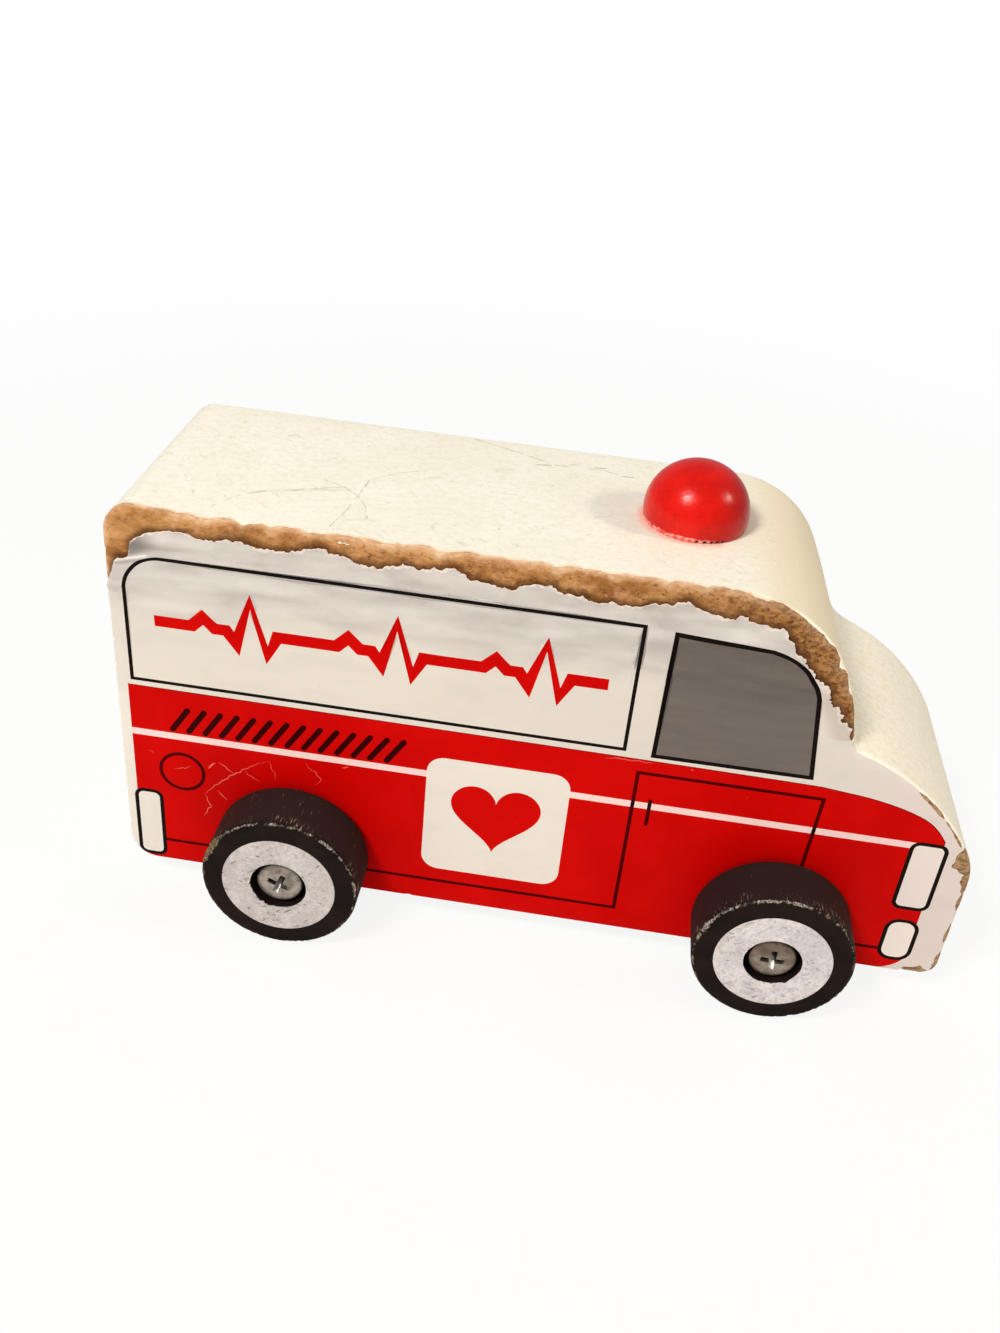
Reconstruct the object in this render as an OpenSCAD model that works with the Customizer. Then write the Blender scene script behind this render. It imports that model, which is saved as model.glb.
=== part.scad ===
// Toy ambulance van: a solid wood-fibre block with printed side labels,
// four screwed-on wheels that spin and a round beacon on the roof.
// Millimetres. +X is forward, +Z is up, the floor is at z = 0 and the
// origin is the centre of the footprint.

/* [Block] */
// Length of the block, rear face to front face
body_length = 145; // [125:1:165]
// Width of the block without its labels
body_width = 44.6; // [40:0.2:54]
// Height of the block, underside to roof
body_height = 70.5; // [64:0.5:80]
// Height of the underside above the floor
ground_clearance = 5; // [3.5:0.5:8]
// Rounding of the edges between the painted band and the sides
edge_rounding = 0.8; // [0.3:0.1:1.5]
// Radius of the upper rear corner
rear_top_radius = 4.5; // [2:0.5:8]
// Radius of the lower rear corner
rear_bottom_radius = 5; // [2:0.5:8]
// Radius of the lower front corner
front_bottom_radius = 3; // [2:0.5:6]

/* [Windscreen and bonnet] */
// From the front face back to where the roof starts to curve down
roof_setback = 47.3; // [45:0.1:54]
// Radius of the upper part of the windscreen curve
windscreen_upper_radius = 20; // [18:0.5:22]
// Angle that the upper part turns through
windscreen_turn = 66; // [60:0.5:70]
// Radius of the lower part of the windscreen curve
windscreen_lower_radius = 85; // [75:1:100]
// Height above the floor at which the front face starts to curve back
bonnet_front_height = 26.4; // [22:0.1:29]
// Radius of the curve at the front of the bonnet
bonnet_front_radius = 12.1; // [10:0.1:14]
// Angle that the front curve turns through
bonnet_turn = 30; // [25:1:35]
// Radius of the top of the bonnet
bonnet_top_radius = 39.1; // [36:0.1:44]

/* [Side labels] */
// Thickness of a printed label
label_thickness = 0.2; // [0.1:0.05:0.4]
// Bare margin between a label and the block's outline
label_margin = 0.9; // [0.8:0.1:2]
// Clearance of a label's holes around the screws
label_hole_clearance = 0.3; // [0.1:0.1:0.8]

/* [Wheels] */
// Diameter of a wheel
wheel_diameter = 27; // [22:0.5:32]
// Width of a wheel
wheel_width = 10.2; // [8:0.2:14]
// Rounding of a wheel's two edges
wheel_edge_rounding = 0.9; // [0.3:0.1:1.5]
// Distance between the two axles
axle_spacing = 84; // [74:1:92]
// Rear face of the block to the rear axle
rear_overhang = 30.5; // [26:0.5:36]
// Diameter of the recess for the screw head
recess_diameter = 9.7; // [9:0.1:11]
// Depth of the recess
recess_depth = 3.6; // [3:0.1:4.5]
// End float of a wheel, at the screw head and at the washer
end_float = 0.3; // [0.2:0.05:0.4]
// Radial clearance between a wheel and its screw
running_clearance = 0.08; // [0.03:0.01:0.1]
// Outer diameter of the paper ring on a wheel's face
hub_label_diameter = 19.6; // [16:0.1:20]
// Thickness of the paper ring
hub_label_thickness = 0.15; // [0.1:0.05:0.3]

/* [Screws and washers] */
// Diameter of the smooth shank that a wheel turns on
shank_diameter = 4.2; // [3.8:0.1:4.8]
// Diameter of the thread's core
core_diameter = 3.1; // [2.8:0.1:3.4]
// Length of thread in the block
thread_length = 16; // [12:0.5:18]
// Distance between two turns of the thread
thread_pitch = 1.4; // [1.2:0.1:1.8]
// Diameter of the pan head
head_diameter = 8; // [7.2:0.1:8.4]
// Height of the pan head
head_height = 3.1; // [2.4:0.1:3.4]
// Width of the cross recess over its wings
cross_width = 4.4; // [3.6:0.1:5]
// Thickness of one wing of the cross recess
cross_wing = 1; // [0.7:0.1:1.3]
// Depth of the cross recess
cross_depth = 2.2; // [1.6:0.1:2.3]
// Outer diameter of a washer
washer_diameter = 9; // [8:0.5:11]
// Thickness of a washer
washer_thickness = 0.5; // [0.3:0.1:0.8]
// Clearance of a washer's hole around the shank
washer_clearance = 0.15; // [0.05:0.05:0.3]

/* [Beacon] */
// Largest diameter of the beacon
beacon_diameter = 17.2; // [12:0.2:20]
// Height of the beacon above the roof
beacon_height = 10.2; // [8:0.2:13]
// Height of the widest point above the roof
beacon_waist = 2; // [0.6:0.2:2.4]
// Distance of the beacon from the front face
beacon_setback = 54; // [50:0.5:70]
// Diameter of the dowel that holds the beacon
dowel_diameter = 6; // [4:0.5:7]
// Length of the dowel in the beacon
dowel_in_beacon = 5; // [3:0.5:6]
// Length of the dowel in the block
dowel_in_block = 9; // [6:0.5:14]
// Glue gap around the dowel
glue_gap = 0.05; // [0.02:0.01:0.1]

/* [Hidden] */
$fn = 96;
corner_steps = 8;
curve_steps = 14;
side_names = ["right", "left"];
axle_names = ["rear", "front"];

// Key planes of the block
rear_x = -body_length / 2;
front_x = body_length / 2;
underside_z = ground_clearance;
roof_z = ground_clearance + body_height;
label_plane_y = body_width / 2 + label_thickness;

// Axles
axle_x = [rear_x + rear_overhang, rear_x + rear_overhang + axle_spacing];
axle_z = wheel_diameter / 2;

// Distances outwards from a label's face, along an axle
wheel_back = washer_thickness + end_float;
wheel_face = wheel_back + wheel_width;
head_seat = wheel_face - recess_depth + end_float;

// Centres of the windscreen's two arcs
windscreen_angle = 90 - windscreen_turn;
upper_x = front_x - roof_setback;
upper_z = roof_z - windscreen_upper_radius;
lower_x = upper_x + (windscreen_upper_radius - windscreen_lower_radius) * cos(windscreen_angle);
lower_z = upper_z + (windscreen_upper_radius - windscreen_lower_radius) * sin(windscreen_angle);

// Centres of the bonnet's two arcs
nose_x = front_x - bonnet_front_radius;
nose_z = bonnet_front_height;
top_x = nose_x + (bonnet_front_radius - bonnet_top_radius) * cos(bonnet_turn);
top_z = nose_z + (bonnet_front_radius - bonnet_top_radius) * sin(bonnet_turn);

// Depth of the torn label edge below the roof, at even steps from the rear
// corner to the windscreen, and then along the windscreen curve
roof_tear = [5, 3, 3.6, 2.9, 3.4, 2.5, 4, 3.7, 3.6, 3.5, 4.9, 3.7, 5.1, 5, 3.6, 3.4, 4.8];
windscreen_tear = [4.3, 4, 3.2, 4.2, 4.4, 4.4, 3.2, 0.9];
windscreen_foot_angle = 15;

beacon_x = front_x - beacon_setback;

// Points of an arc, from one angle to another
function arc(centre, radius, from, to, steps) = [
    for (i = [0:steps])
        let (a = from + (to - from) * i / steps)
        centre + radius * [cos(a), sin(a)]
];

// Side view of the cabin, moved inwards by inset, with the top edge given
function cabin_outline(inset, top) = concat(
    [[lower_x + windscreen_lower_radius - inset, underside_z + inset]],
    top,
    arc([rear_x + rear_bottom_radius, underside_z + rear_bottom_radius],
        rear_bottom_radius - inset, 180, 270, corner_steps)
);

// Whole top edge, from the foot of the windscreen to the upper rear corner
function whole_top(inset) = concat(
    arc([lower_x, lower_z], windscreen_lower_radius - inset, 0, windscreen_angle, curve_steps),
    arc([upper_x, upper_z], windscreen_upper_radius - inset, windscreen_angle, 90, curve_steps),
    arc([rear_x + rear_top_radius, roof_z - rear_top_radius],
        rear_top_radius - inset, 90, 180, corner_steps)
);

// Torn top edge: the same path, as deep as the tear is at each step
function windscreen_point(angle, depth) = angle < windscreen_angle
    ? [lower_x, lower_z] + (windscreen_lower_radius - depth) * [cos(angle), sin(angle)]
    : [upper_x, upper_z] + (windscreen_upper_radius - depth) * [cos(angle), sin(angle)];

function torn_top(inset) = let (
    n = len(windscreen_tear),
    m = len(roof_tear),
    start_x = rear_x + rear_top_radius
) concat(
    [[lower_x + windscreen_lower_radius - inset, lower_z]],
    [
        for (i = [n - 1:-1:0])
            let (angle = 90 - (90 - windscreen_foot_angle) * (i + 1) / n)
            windscreen_point(angle, max(inset, windscreen_tear[i]))
    ],
    [
        for (i = [m - 1:-1:0])
            [start_x + (upper_x - start_x) * i / (m - 1), roof_z - max(inset, roof_tear[i])]
    ],
    [[rear_x + inset, roof_z - rear_top_radius - roof_tear[0]]]
);

// Side view of the bonnet, moved inwards by inset. Its rear end lies inside the cabin.
function bonnet_outline(inset) = concat(
    [[top_x, underside_z + inset]],
    arc([front_x - front_bottom_radius, underside_z + front_bottom_radius],
        front_bottom_radius - inset, 270, 360, corner_steps),
    arc([nose_x, nose_z], bonnet_front_radius - inset, 0, bonnet_turn, curve_steps),
    arc([top_x, top_z], bonnet_top_radius - inset, bonnet_turn, 90, curve_steps)
);

// Turns a side view into a board that stands on its edge, centred on y = 0
module board(width) {
    rotate([90, 0, 0])
        linear_extrude(width, center = true)
            children();
}

// Places a piece at one wheel. Its local z = 0 is the label's face, and +z points outwards.
module at_wheel(axle, side) {
    outwards = side == 0 ? -1 : 1;
    translate([axle_x[axle], outwards * label_plane_y, axle_z])
        rotate([-90 * outwards, 0, 0])
            children();
}

// Board with rounded edges: a stack of outlines that shrink towards both faces
module rounded_board(cabin) {
    hull()
        for (a = [0:30:90]) {
            inset = edge_rounding * (1 - cos(a));
            board(body_width - 2 * edge_rounding * (1 - sin(a)))
                polygon(cabin ? cabin_outline(inset, whole_top(inset)) : bonnet_outline(inset));
        }
}

module body_block() {
    color("ivory")
    difference() {
        union() {
            rounded_board(true);
            rounded_board(false);
        }
        for (axle = [0, 1], side = [0, 1])
            at_wheel(axle, side)
                translate([0, 0, -label_thickness - thread_length])
                    cylinder(d = core_diameter, h = thread_length + 1);
        translate([beacon_x, 0, roof_z - dowel_in_block])
            cylinder(d = dowel_diameter + 2 * glue_gap, h = dowel_in_block + 1);
    }
}

module side_label(side) {
    outwards = side == 0 ? -1 : 1;
    color("red")
    difference() {
        translate([0, outwards * (body_width + label_thickness) / 2, 0])
            board(label_thickness) {
                polygon(cabin_outline(label_margin, side == 0 ? torn_top(label_margin) : whole_top(label_margin)));
                polygon(bonnet_outline(label_margin));
            }
        for (axle = [0, 1])
            at_wheel(axle, side)
                translate([0, 0, -label_thickness - 1])
                    cylinder(d = shank_diameter + 2 * label_hole_clearance, h = label_thickness + 2);
    }
}

// Half of the beacon's section, from the tucked-in foot to the top
function beacon_section() = let (
    r = beacon_diameter / 2,
    rise = beacon_height - beacon_waist,
    foot = -asin(beacon_waist / rise)
) [
    for (i = [0:24])
        let (a = foot + (90 - foot) * i / 24)
        [r * cos(a), beacon_waist + rise * sin(a)]
];

module beacon() {
    color("red")
    translate([beacon_x, 0, roof_z])
        difference() {
            rotate_extrude()
                polygon(concat([[0, 0]], beacon_section()));
            translate([0, 0, -1])
                cylinder(d = dowel_diameter + 2 * glue_gap, h = dowel_in_beacon + 1);
        }
}

module beacon_dowel() {
    color("burlywood")
    translate([beacon_x, 0, roof_z - dowel_in_block])
        cylinder(d = dowel_diameter, h = dowel_in_block + dowel_in_beacon);
}

module wheel(axle, side) {
    r = wheel_diameter / 2;
    bore = shank_diameter / 2 + running_clearance;
    floor_z = wheel_face - recess_depth;
    color("black")
    at_wheel(axle, side)
        rotate_extrude()
            polygon(concat(
                [[bore, wheel_back]],
                arc([r - wheel_edge_rounding, wheel_back + wheel_edge_rounding],
                    wheel_edge_rounding, -90, 0, corner_steps),
                arc([r - wheel_edge_rounding, wheel_face - wheel_edge_rounding],
                    wheel_edge_rounding, 0, 90, corner_steps),
                [[recess_diameter / 2, wheel_face], [recess_diameter / 2, floor_z], [bore, floor_z]]
            ));
}

module hub_label(axle, side) {
    color("gainsboro")
    at_wheel(axle, side)
        translate([0, 0, wheel_face])
            difference() {
                cylinder(d = hub_label_diameter, h = hub_label_thickness);
                translate([0, 0, -1])
                    cylinder(d = recess_diameter, h = hub_label_thickness + 2);
            }
}

module washer(axle, side) {
    color("silver")
    at_wheel(axle, side)
        difference() {
            cylinder(d = washer_diameter, h = washer_thickness);
            translate([0, 0, -1])
                cylinder(d = shank_diameter + 2 * washer_clearance, h = washer_thickness + 2);
        }
}

// Section of the thread, up its crests, from the tip to the block's face
function thread_section() = let (
    turns = floor((thread_length - thread_pitch) / thread_pitch),
    tip_z = -label_thickness - thread_length,
    core = core_diameter / 2,
    crest = shank_diameter / 2
) concat(
    [[0, tip_z], [core / 3, tip_z], [core, tip_z + thread_pitch]],
    [
        for (i = [0:turns - 1], k = [0:2])
            [k == 1 ? crest : core, tip_z + thread_pitch * (1 + i + [0.35, 0.5, 0.65][k])]
    ],
    [[core, -label_thickness]]
);

// Section of the pan head above its seat
function head_section() = let (
    r = head_diameter / 2,
    wall = head_height * 0.76
) concat(
    [[r, head_seat]],
    [for (a = [0:10:90]) [r * cos(a), head_seat + wall + (head_height - wall) * sin(a)]]
);

module axle_screw(axle, side) {
    color("silver")
    at_wheel(axle, side)
        difference() {
            rotate_extrude()
                polygon(concat(
                    thread_section(),
                    [[shank_diameter / 2, -label_thickness], [shank_diameter / 2, head_seat]],
                    head_section()
                ));
            translate([0, 0, head_seat + head_height - cross_depth])
                intersection() {
                    cylinder(d1 = cross_wing, d2 = cross_width, h = cross_depth);
                    for (turn = [0, 90])
                        rotate(turn)
                            translate([-cross_width / 2, -cross_wing / 2, 0])
                                cube([cross_width, cross_wing, cross_depth]);
                }
        }
}

body_block();
side_label(0);  // label_right
side_label(1);  // label_left
beacon();
beacon_dowel();
for (axle = [0, 1], side = [0, 1]) {
    place = str(axle_names[axle], "_", side_names[side]);
    wheel(axle, side);
    hub_label(axle, side);
    axle_screw(axle, side);
    washer(axle, side);
}
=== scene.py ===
import math
from functools import reduce

import bmesh
import bpy
import numpy as np
from mathutils import Matrix, Vector
from mathutils.geometry import delaunay_2d_cdt


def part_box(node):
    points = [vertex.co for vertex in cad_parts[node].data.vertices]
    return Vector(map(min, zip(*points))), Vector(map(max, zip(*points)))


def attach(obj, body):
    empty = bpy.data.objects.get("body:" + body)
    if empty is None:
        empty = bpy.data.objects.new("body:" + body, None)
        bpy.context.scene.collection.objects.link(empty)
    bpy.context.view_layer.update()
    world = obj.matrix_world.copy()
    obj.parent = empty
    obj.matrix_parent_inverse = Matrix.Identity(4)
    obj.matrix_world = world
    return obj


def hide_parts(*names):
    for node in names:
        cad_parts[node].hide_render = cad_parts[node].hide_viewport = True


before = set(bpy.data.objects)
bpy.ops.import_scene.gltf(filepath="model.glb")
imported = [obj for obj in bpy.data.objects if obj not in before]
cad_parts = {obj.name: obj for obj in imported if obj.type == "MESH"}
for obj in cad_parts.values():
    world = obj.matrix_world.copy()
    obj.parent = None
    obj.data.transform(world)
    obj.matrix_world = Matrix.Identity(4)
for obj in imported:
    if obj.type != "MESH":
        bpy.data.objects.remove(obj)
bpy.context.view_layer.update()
mm = 0.001  # shapes are worked out in millimetres and made in metres
roundGap = 0.002  # points closer than this are one point
sharpTurn = 40  # degrees between two faces from which their edge is sharp

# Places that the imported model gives


def nodeBox(node):
    low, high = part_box(node)
    return np.array(low) / mm, np.array(high) / mm


def nodeMiddle(node):
    low, high = nodeBox(node)
    return (low + high) / 2


def discSizes(node):  # its radius, then its inner and outer face from the middle plane
    low, high = nodeBox(node)
    inner, outer = sorted((abs(low[1]), abs(high[1])))
    return (high[0] - low[0]) / 2, inner, outer


blockLow, blockHigh = nodeBox("body_block")
beaconLow, beaconHigh = nodeBox("beacon")
beaconMiddle = nodeMiddle("beacon")
beaconRadius = (beaconHigh[0] - beaconLow[0]) / 2
labelFace = nodeBox("label_left")[1][1]  # a label's outer face, from the middle plane
wheelPlaces = ["rear_right", "front_right", "rear_left", "front_left"]


# Random fields and small sums that several pieces share


def ripple(points, size, seed, count=28):  # smooth random field, mostly between -1 and 1
    rng = np.random.default_rng(seed)
    points = np.atleast_2d(points)
    ways = rng.normal(size=(points.shape[1], count))
    ways /= np.linalg.norm(ways, axis=0)
    lengths = size * rng.uniform(0.55, 1.9, count)
    waves = np.cos(points @ ways / lengths * 2 * np.pi + rng.uniform(0, 2 * np.pi, count))
    return waves.sum(axis=1) * 0.8 / math.sqrt(count / 2)


def roughField(points, size, seed, layers=3):  # ripples of ever smaller size
    return sum(ripple(points, size / 2.1**i, seed + i) * 0.58**i for i in range(layers))


def ease(value, low, high):  # 0 below low, 1 above high
    share = np.clip((value - low) / (high - low), 0, 1)
    return share * share * (3 - 2 * share)


def hump(gap, width):  # 1 at no gap, falling away on both sides
    return np.exp(-((gap / width) ** 2))


def nearTurn(angles, middle, reach, full):  # 1 near a direction in degrees, 0 beyond its reach
    away = np.abs(np.mod(np.degrees(angles) - middle + 180, 360) - 180) / reach
    return 1 - ease(away, full, 1)


def wayAt(turn):  # a unit step in a direction in degrees
    return np.array((math.cos(math.radians(turn)), math.sin(math.radians(turn))))


def ringPlaces(angles, radius=1):
    return np.column_stack((np.cos(angles), np.sin(angles))) * radius


def arcPoints(centre, radius, start, end, count):  # the last point is left to what follows
    angles = np.radians(np.linspace(start, end, count, endpoint=False))
    return np.column_stack((centre[0] + radius * np.cos(angles), centre[1] + radius * np.sin(angles)))


def linePoints(start, end, count):
    return np.linspace(start, end, count, endpoint=False)


def pathLength(path, closed=False):
    steps = np.diff(np.vstack((path, path[:1])) if closed else path, axis=0)
    return np.concatenate(([0], np.cumsum(np.linalg.norm(steps, axis=1))))


def resample(path, step):
    along = pathLength(path)
    places = np.linspace(0, along[-1], max(2, int(round(along[-1] / step)) + 1))
    return np.column_stack([np.interp(places, along, path[:, k]) for k in range(path.shape[1])])


def pathNormals(path, closed=False):  # to the left of the way that the path runs
    if closed:
        ahead = np.roll(path, -1, axis=0) - np.roll(path, 1, axis=0)
    else:
        ahead = np.gradient(path, axis=0)
    ahead /= np.linalg.norm(ahead, axis=1)[:, None]
    return np.column_stack((-ahead[:, 1], ahead[:, 0]))


def pathDistance(points, path):  # shortest distance from each point to an open path
    best = np.full(len(points), np.inf)
    for a, b in zip(path[:-1], path[1:]):
        way = b - a
        share = np.clip((points - a) @ way / (way @ way), 0, 1)
        best = np.minimum(best, np.linalg.norm(points - a - share[:, None] * way, axis=1))
    return best


def insideLoop(points, loop):
    found = np.zeros(len(points), bool)
    ax, az = loop.T
    bx, bz = np.roll(loop, -1, axis=0).T
    rise = np.where(bz == az, 1e-12, bz - az)
    for start in range(0, len(points), 4000):
        x, z = points[start:start + 4000].T[:, :, None]
        crosses = (az > z) != (bz > z)
        found[start:start + 4000] = (crosses & (x < (bx - ax) * (z - az) / rise + ax)).sum(axis=1) % 2 == 1
    return found


# Meshes


def addObject(name, data):
    made = bpy.data.objects.new(name, data)
    bpy.context.scene.collection.objects.link(made)
    return made


def makePiece(name, points, faces, finishes, slots=None, values=None, turnOut=True):
    mesh = bpy.data.meshes.new(name)
    mesh.from_pydata((np.asarray(points) * mm).tolist(), [], faces)
    for finish in finishes:
        mesh.materials.append(finish)
    if slots is not None:
        mesh.polygons.foreach_set("material_index", np.asarray(slots, np.int32))
    for key, numbers in (values or {}).items():
        field = mesh.attributes.new(key, "FLOAT", "POINT")
        field.data.foreach_set("value", np.asarray(numbers, np.float32))
    work = bmesh.new()
    work.from_mesh(mesh)
    bmesh.ops.remove_doubles(work, verts=work.verts, dist=roundGap * mm)
    if turnOut:
        bmesh.ops.recalc_face_normals(work, faces=work.faces)
    work.to_mesh(mesh)
    work.free()
    mesh.shade_smooth()
    mesh.set_sharp_from_angle(angle=math.radians(sharpTurn))
    return addObject(name, mesh)


def settle(piece):  # turns a piece's modifiers into its plain mesh
    shown = piece.evaluated_get(bpy.context.evaluated_depsgraph_get())
    made = bpy.data.meshes.new_from_object(shown)
    piece.modifiers.clear()
    piece.data = made
    return piece


def mount(piece, body, slotName, *nodes):  # hands a finished piece to the frame
    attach(piece, body)
    if nodes:
        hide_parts(*nodes)


def ringFaces(rows, columns, closedRows=False):  # faces between rows of points, each row a closed ring
    down = np.arange(rows if closedRows else rows - 1)
    i, j = [a.ravel() for a in np.meshgrid(down, np.arange(columns), indexing="ij")]
    nextRow, nextColumn = (i + 1) % rows, (j + 1) % columns
    corners = ((i, j), (i, nextColumn), (nextRow, nextColumn), (nextRow, j))
    return np.column_stack([row * columns + column for row, column in corners]).tolist()


def lathe(section, turns):  # rows of (radius, height) turned about the height, from the first axis round
    angles = np.arange(turns) / turns * 2 * np.pi
    ring = ringPlaces(angles)
    rows = [np.column_stack((radius * ring, np.full(turns, height))) for radius, height in section]
    return np.concatenate(rows), angles


def flatTriangles(loops, spots):  # triangles of a plane, with every loop's edges kept
    corners, edges = [], []
    for loop in loops:
        first = len(corners)
        corners += [Vector(p) for p in loop.tolist()]
        edges += [(first + i, first + (i + 1) % len(loop)) for i in range(len(loop))]
    corners += [Vector(p) for p in spots.tolist()]
    found = delaunay_2d_cdt(corners, edges, [], 0, 1e-5)
    return np.array([tuple(v) for v in found[0]]), np.array([f for f in found[2] if len(f) == 3])


def spotGrid(low, high, step):  # an even field of points in offset rows
    z = np.arange(low[1], high[1], step * 0.866)
    x = np.arange(low[0], high[0], step)
    rows = [np.column_stack((x + (k % 2) * step / 2, np.full(len(x), h))) for k, h in enumerate(z)]
    return np.concatenate(rows)


# Shader and geometry trees, written as sums


def tone(red, green, blue):  # a colour as the eye reads it, 0 to 255
    shares = [c / 255 for c in (red, green, blue)]
    return (*[c / 12.92 if c <= 0.04045 else ((c + 0.055) / 1.055) ** 2.4 for c in shares], 1)


class Wire:  # one output socket; a sum of wires adds its own nodes
    def __init__(self, tree, socket):
        self.tree = tree
        self.socket = socket

    def __add__(self, other):
        return self.tree.sum("ADD", self, other)

    def __sub__(self, other):
        return self.tree.sum("SUBTRACT", self, other)

    def __rsub__(self, other):
        return self.tree.sum("SUBTRACT", other, self)

    def __mul__(self, other):
        return self.tree.sum("MULTIPLY", self, other)

    def most(self, other):
        return self.tree.sum("MAXIMUM", self, other)

    def least(self, other):
        return self.tree.sum("MINIMUM", self, other)

    __radd__ = __add__
    __rmul__ = __mul__


class Tree:
    def __init__(self, nodeTree):
        self.nodeTree = nodeTree

    def node(self, kind, values=None, output=0, **settings):
        made = self.nodeTree.nodes.new(kind)
        for key, value in settings.items():
            setattr(made, key, value)
        for key, value in (values or {}).items():
            self.put(made.inputs[key], value)
        return Wire(self, made.outputs[output]) if made.outputs else made

    def put(self, socket, value):
        for part in value if isinstance(value, list) else [value]:
            if isinstance(part, Wire):
                self.nodeTree.links.new(part.socket, socket)
            else:
                socket.default_value = part

    def sum(self, operation, *values):
        return self.node("ShaderNodeMath", dict(enumerate(values)), operation=operation)

    def vector(self, operation, *values, output=0):
        return self.node("ShaderNodeVectorMath", dict(enumerate(values)), output, operation=operation)

    def ease(self, value, low, high, first=0.0, last=1.0):
        ends = {"Value": value, "From Min": low, "From Max": high, "To Min": first, "To Max": last}
        return self.node("ShaderNodeMapRange", ends, interpolation_type="SMOOTHSTEP")


class Finish(Tree):  # a material: ground and over lay its colours, each a wire or three tones
    def __init__(self, name, **constants):
        self.material = bpy.data.materials.new(name)
        self.material.use_nodes = True
        super().__init__(self.material.node_tree)
        self.shader = self.nodeTree.nodes["Principled BSDF"]
        for key, value in constants.items():
            self.shader.inputs[key.replace("_", " ")].default_value = value
        place = self.node("ShaderNodeTexCoord", output=3)
        self.place = self.vector("MULTIPLY", place, (1 / mm,) * 3)  # millimetres on the toy

    def noise(self, size, detail, stretch=(1, 1, 1), roughness=0.5, seed=0.0):
        spot = {"Vector": self.place, "Location": (seed,) * 3, "Scale": stretch}
        look = {"Scale": 1 / size, "Detail": detail, "Roughness": roughness}
        return self.node("ShaderNodeTexNoise", {"Vector": self.node("ShaderNodeMapping", spot), **look})

    def lines(self, turn, size, length, seed):  # noise drawn out along x, then turned by degrees
        turned = tuple(math.radians(angle) for angle in turn)
        spot = {"Vector": self.place, "Location": (seed,) * 3, "Rotation": turned}
        spot["Scale"] = (length / size, 1, 1)
        spot = self.node("ShaderNodeMapping", spot, vector_type="TEXTURE")
        return self.node("ShaderNodeTexNoise", {"Vector": spot, "Scale": 1 / size, "Detail": 1.0})

    def specks(self, spacing, size, share, seed=0.0):  # 1 on a share of small irregular spots
        bend = self.noise(size * 1.5, 2, seed=seed)
        spot = self.vector("ADD", self.place, (seed, seed * 0.7, seed * 0.3))
        cells = {"Vector": spot, "Scale": 1 / spacing}
        near = self.node("ShaderNodeTexVoronoi", cells)
        pick = self.node("ShaderNodeTexVoronoi", cells, 1)
        chosen = self.node("ShaderNodeSeparateColor", {"Color": pick})
        width = size / spacing * (bend * 1.6 - 0.3)
        return self.ease(near, width, width * 0.6) * self.ease(chosen, 1 - share, 1.001 - share)

    def attribute(self, name):
        return self.node("ShaderNodeAttribute", {}, 2, attribute_name=name)

    def part(self, axis):  # 0, 1 or 2 for x, y or z, in millimetres
        return self.node("ShaderNodeSeparateXYZ", {0: self.place}, axis)

    def lineGap(self, points, upright=False):  # distance to a line of points in x and y, or in x and z
        points = [Vector((a, 0, b) if upright else (a, b, 0)) for a, b in points]
        here = self.vector("MULTIPLY", self.place, (1, 0, 1) if upright else (1, 1, 0))
        gaps = []
        for start, end in zip(points[:-1], points[1:]):
            way = end - start
            offset = self.vector("SUBTRACT", here, tuple(start))
            share = self.vector("DOT_PRODUCT", offset, tuple(way / way.length_squared), output=1)
            share = self.node("ShaderNodeClamp", {0: share})
            along = self.node("ShaderNodeVectorMath", {0: tuple(way), 3: share}, operation="SCALE")
            gaps.append(self.vector("DISTANCE", offset, along, output=1))
        return reduce(Wire.least, gaps)

    def mix(self, share, first, second):
        first, second = [c if isinstance(c, Wire) else tone(*c) for c in (first, second)]
        return self.node("ShaderNodeMix", {0: share, 6: first, 7: second}, 2, data_type="RGBA")

    def ground(self, share, first, second):
        self.colour = self.mix(share, first, second)

    def over(self, share, colour):
        self.colour = self.mix(share, self.colour, colour)

    def done(self, roughness, height):  # height in millimetres
        normal = self.node("ShaderNodeBump", {"Strength": 1.0, "Distance": mm, "Height": height})
        for key, value in (("Base Color", self.colour), ("Roughness", roughness), ("Normal", normal)):
            self.put(self.shader.inputs[key], value)
        return self.material


# Finishes of the block

roofMarks = {
    # Lines on the roof, in x and y
    "scratches": [
        [(-53.4, -12.5), (-49.6, -10.3), (-44.8, -8.3), (-40.9, -6.9), (-37.2, -5.9)],
        [(-56.2, -17.8), (-54.1, -13.6), (-51, -10.6), (-44.6, -7.9), (-38.3, -5), (-35.5, -7.6)],
        [(-35.5, -7.6), (-36.1, -13.2), (-37.3, -19)],
        [(-35.5, -7.6), (-33.6, -10.9), (-32.4, -15.1)],
        [(-41.9, -3.4), (-38.2, -5.1), (-35.5, -7.6), (-35, -1.2), (-30.9, 2.9), (-26.2, 5.7)],
        [(-20.8, 21.2), (-12.5, 17.8), (-5.7, 14.5), (2.1, 14.9), (7.1, 13.5)],
    ],
    "scratchWidth": 0.14,
    "dashes": [[(-8.6, 13.6), (-6.4, 14.1)], [(1.4, 15.5), (3, 15.8)], [(6.1, 13.4), (8, 13.5)]],
    "dashWidth": 0.24,
    # Painted shade and light along x: darker on the windscreen, lighter at its foot and on the bonnet; from
    # and to along x, then colour
    "screenShadeAndLight": [
        (25, 34, (247, 232, 202)), (35, 38, (243, 227, 194)),
        (43, 48, (255, 249, 230)), (52, 58, (253, 246, 227)),
    ],
    "ticks": [(12, 1.9), (-24, 1.5), (68, 1.3), (151, 1.7)],  # turn in degrees, then length
    "hairs": [(20, 2.6), (-48, 2.2)],  # turn in degrees, then spacing
    "hairWidth": 0.012,
    # a faint grey patch left of the beacon: partly a smudge, partly the beacon's painted shadow
    "smudgeAndShadow": [(4.6, 6.2), (4.4, 0), (8.4, -5.4)],
    "smudgeAndShadowReach": 4.4,
    "pinkRing": (168, 296),  # where the roof is pink round the beacon's foot, in degrees round the beacon
    "pinkRingReach": 1.3,
}


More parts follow.
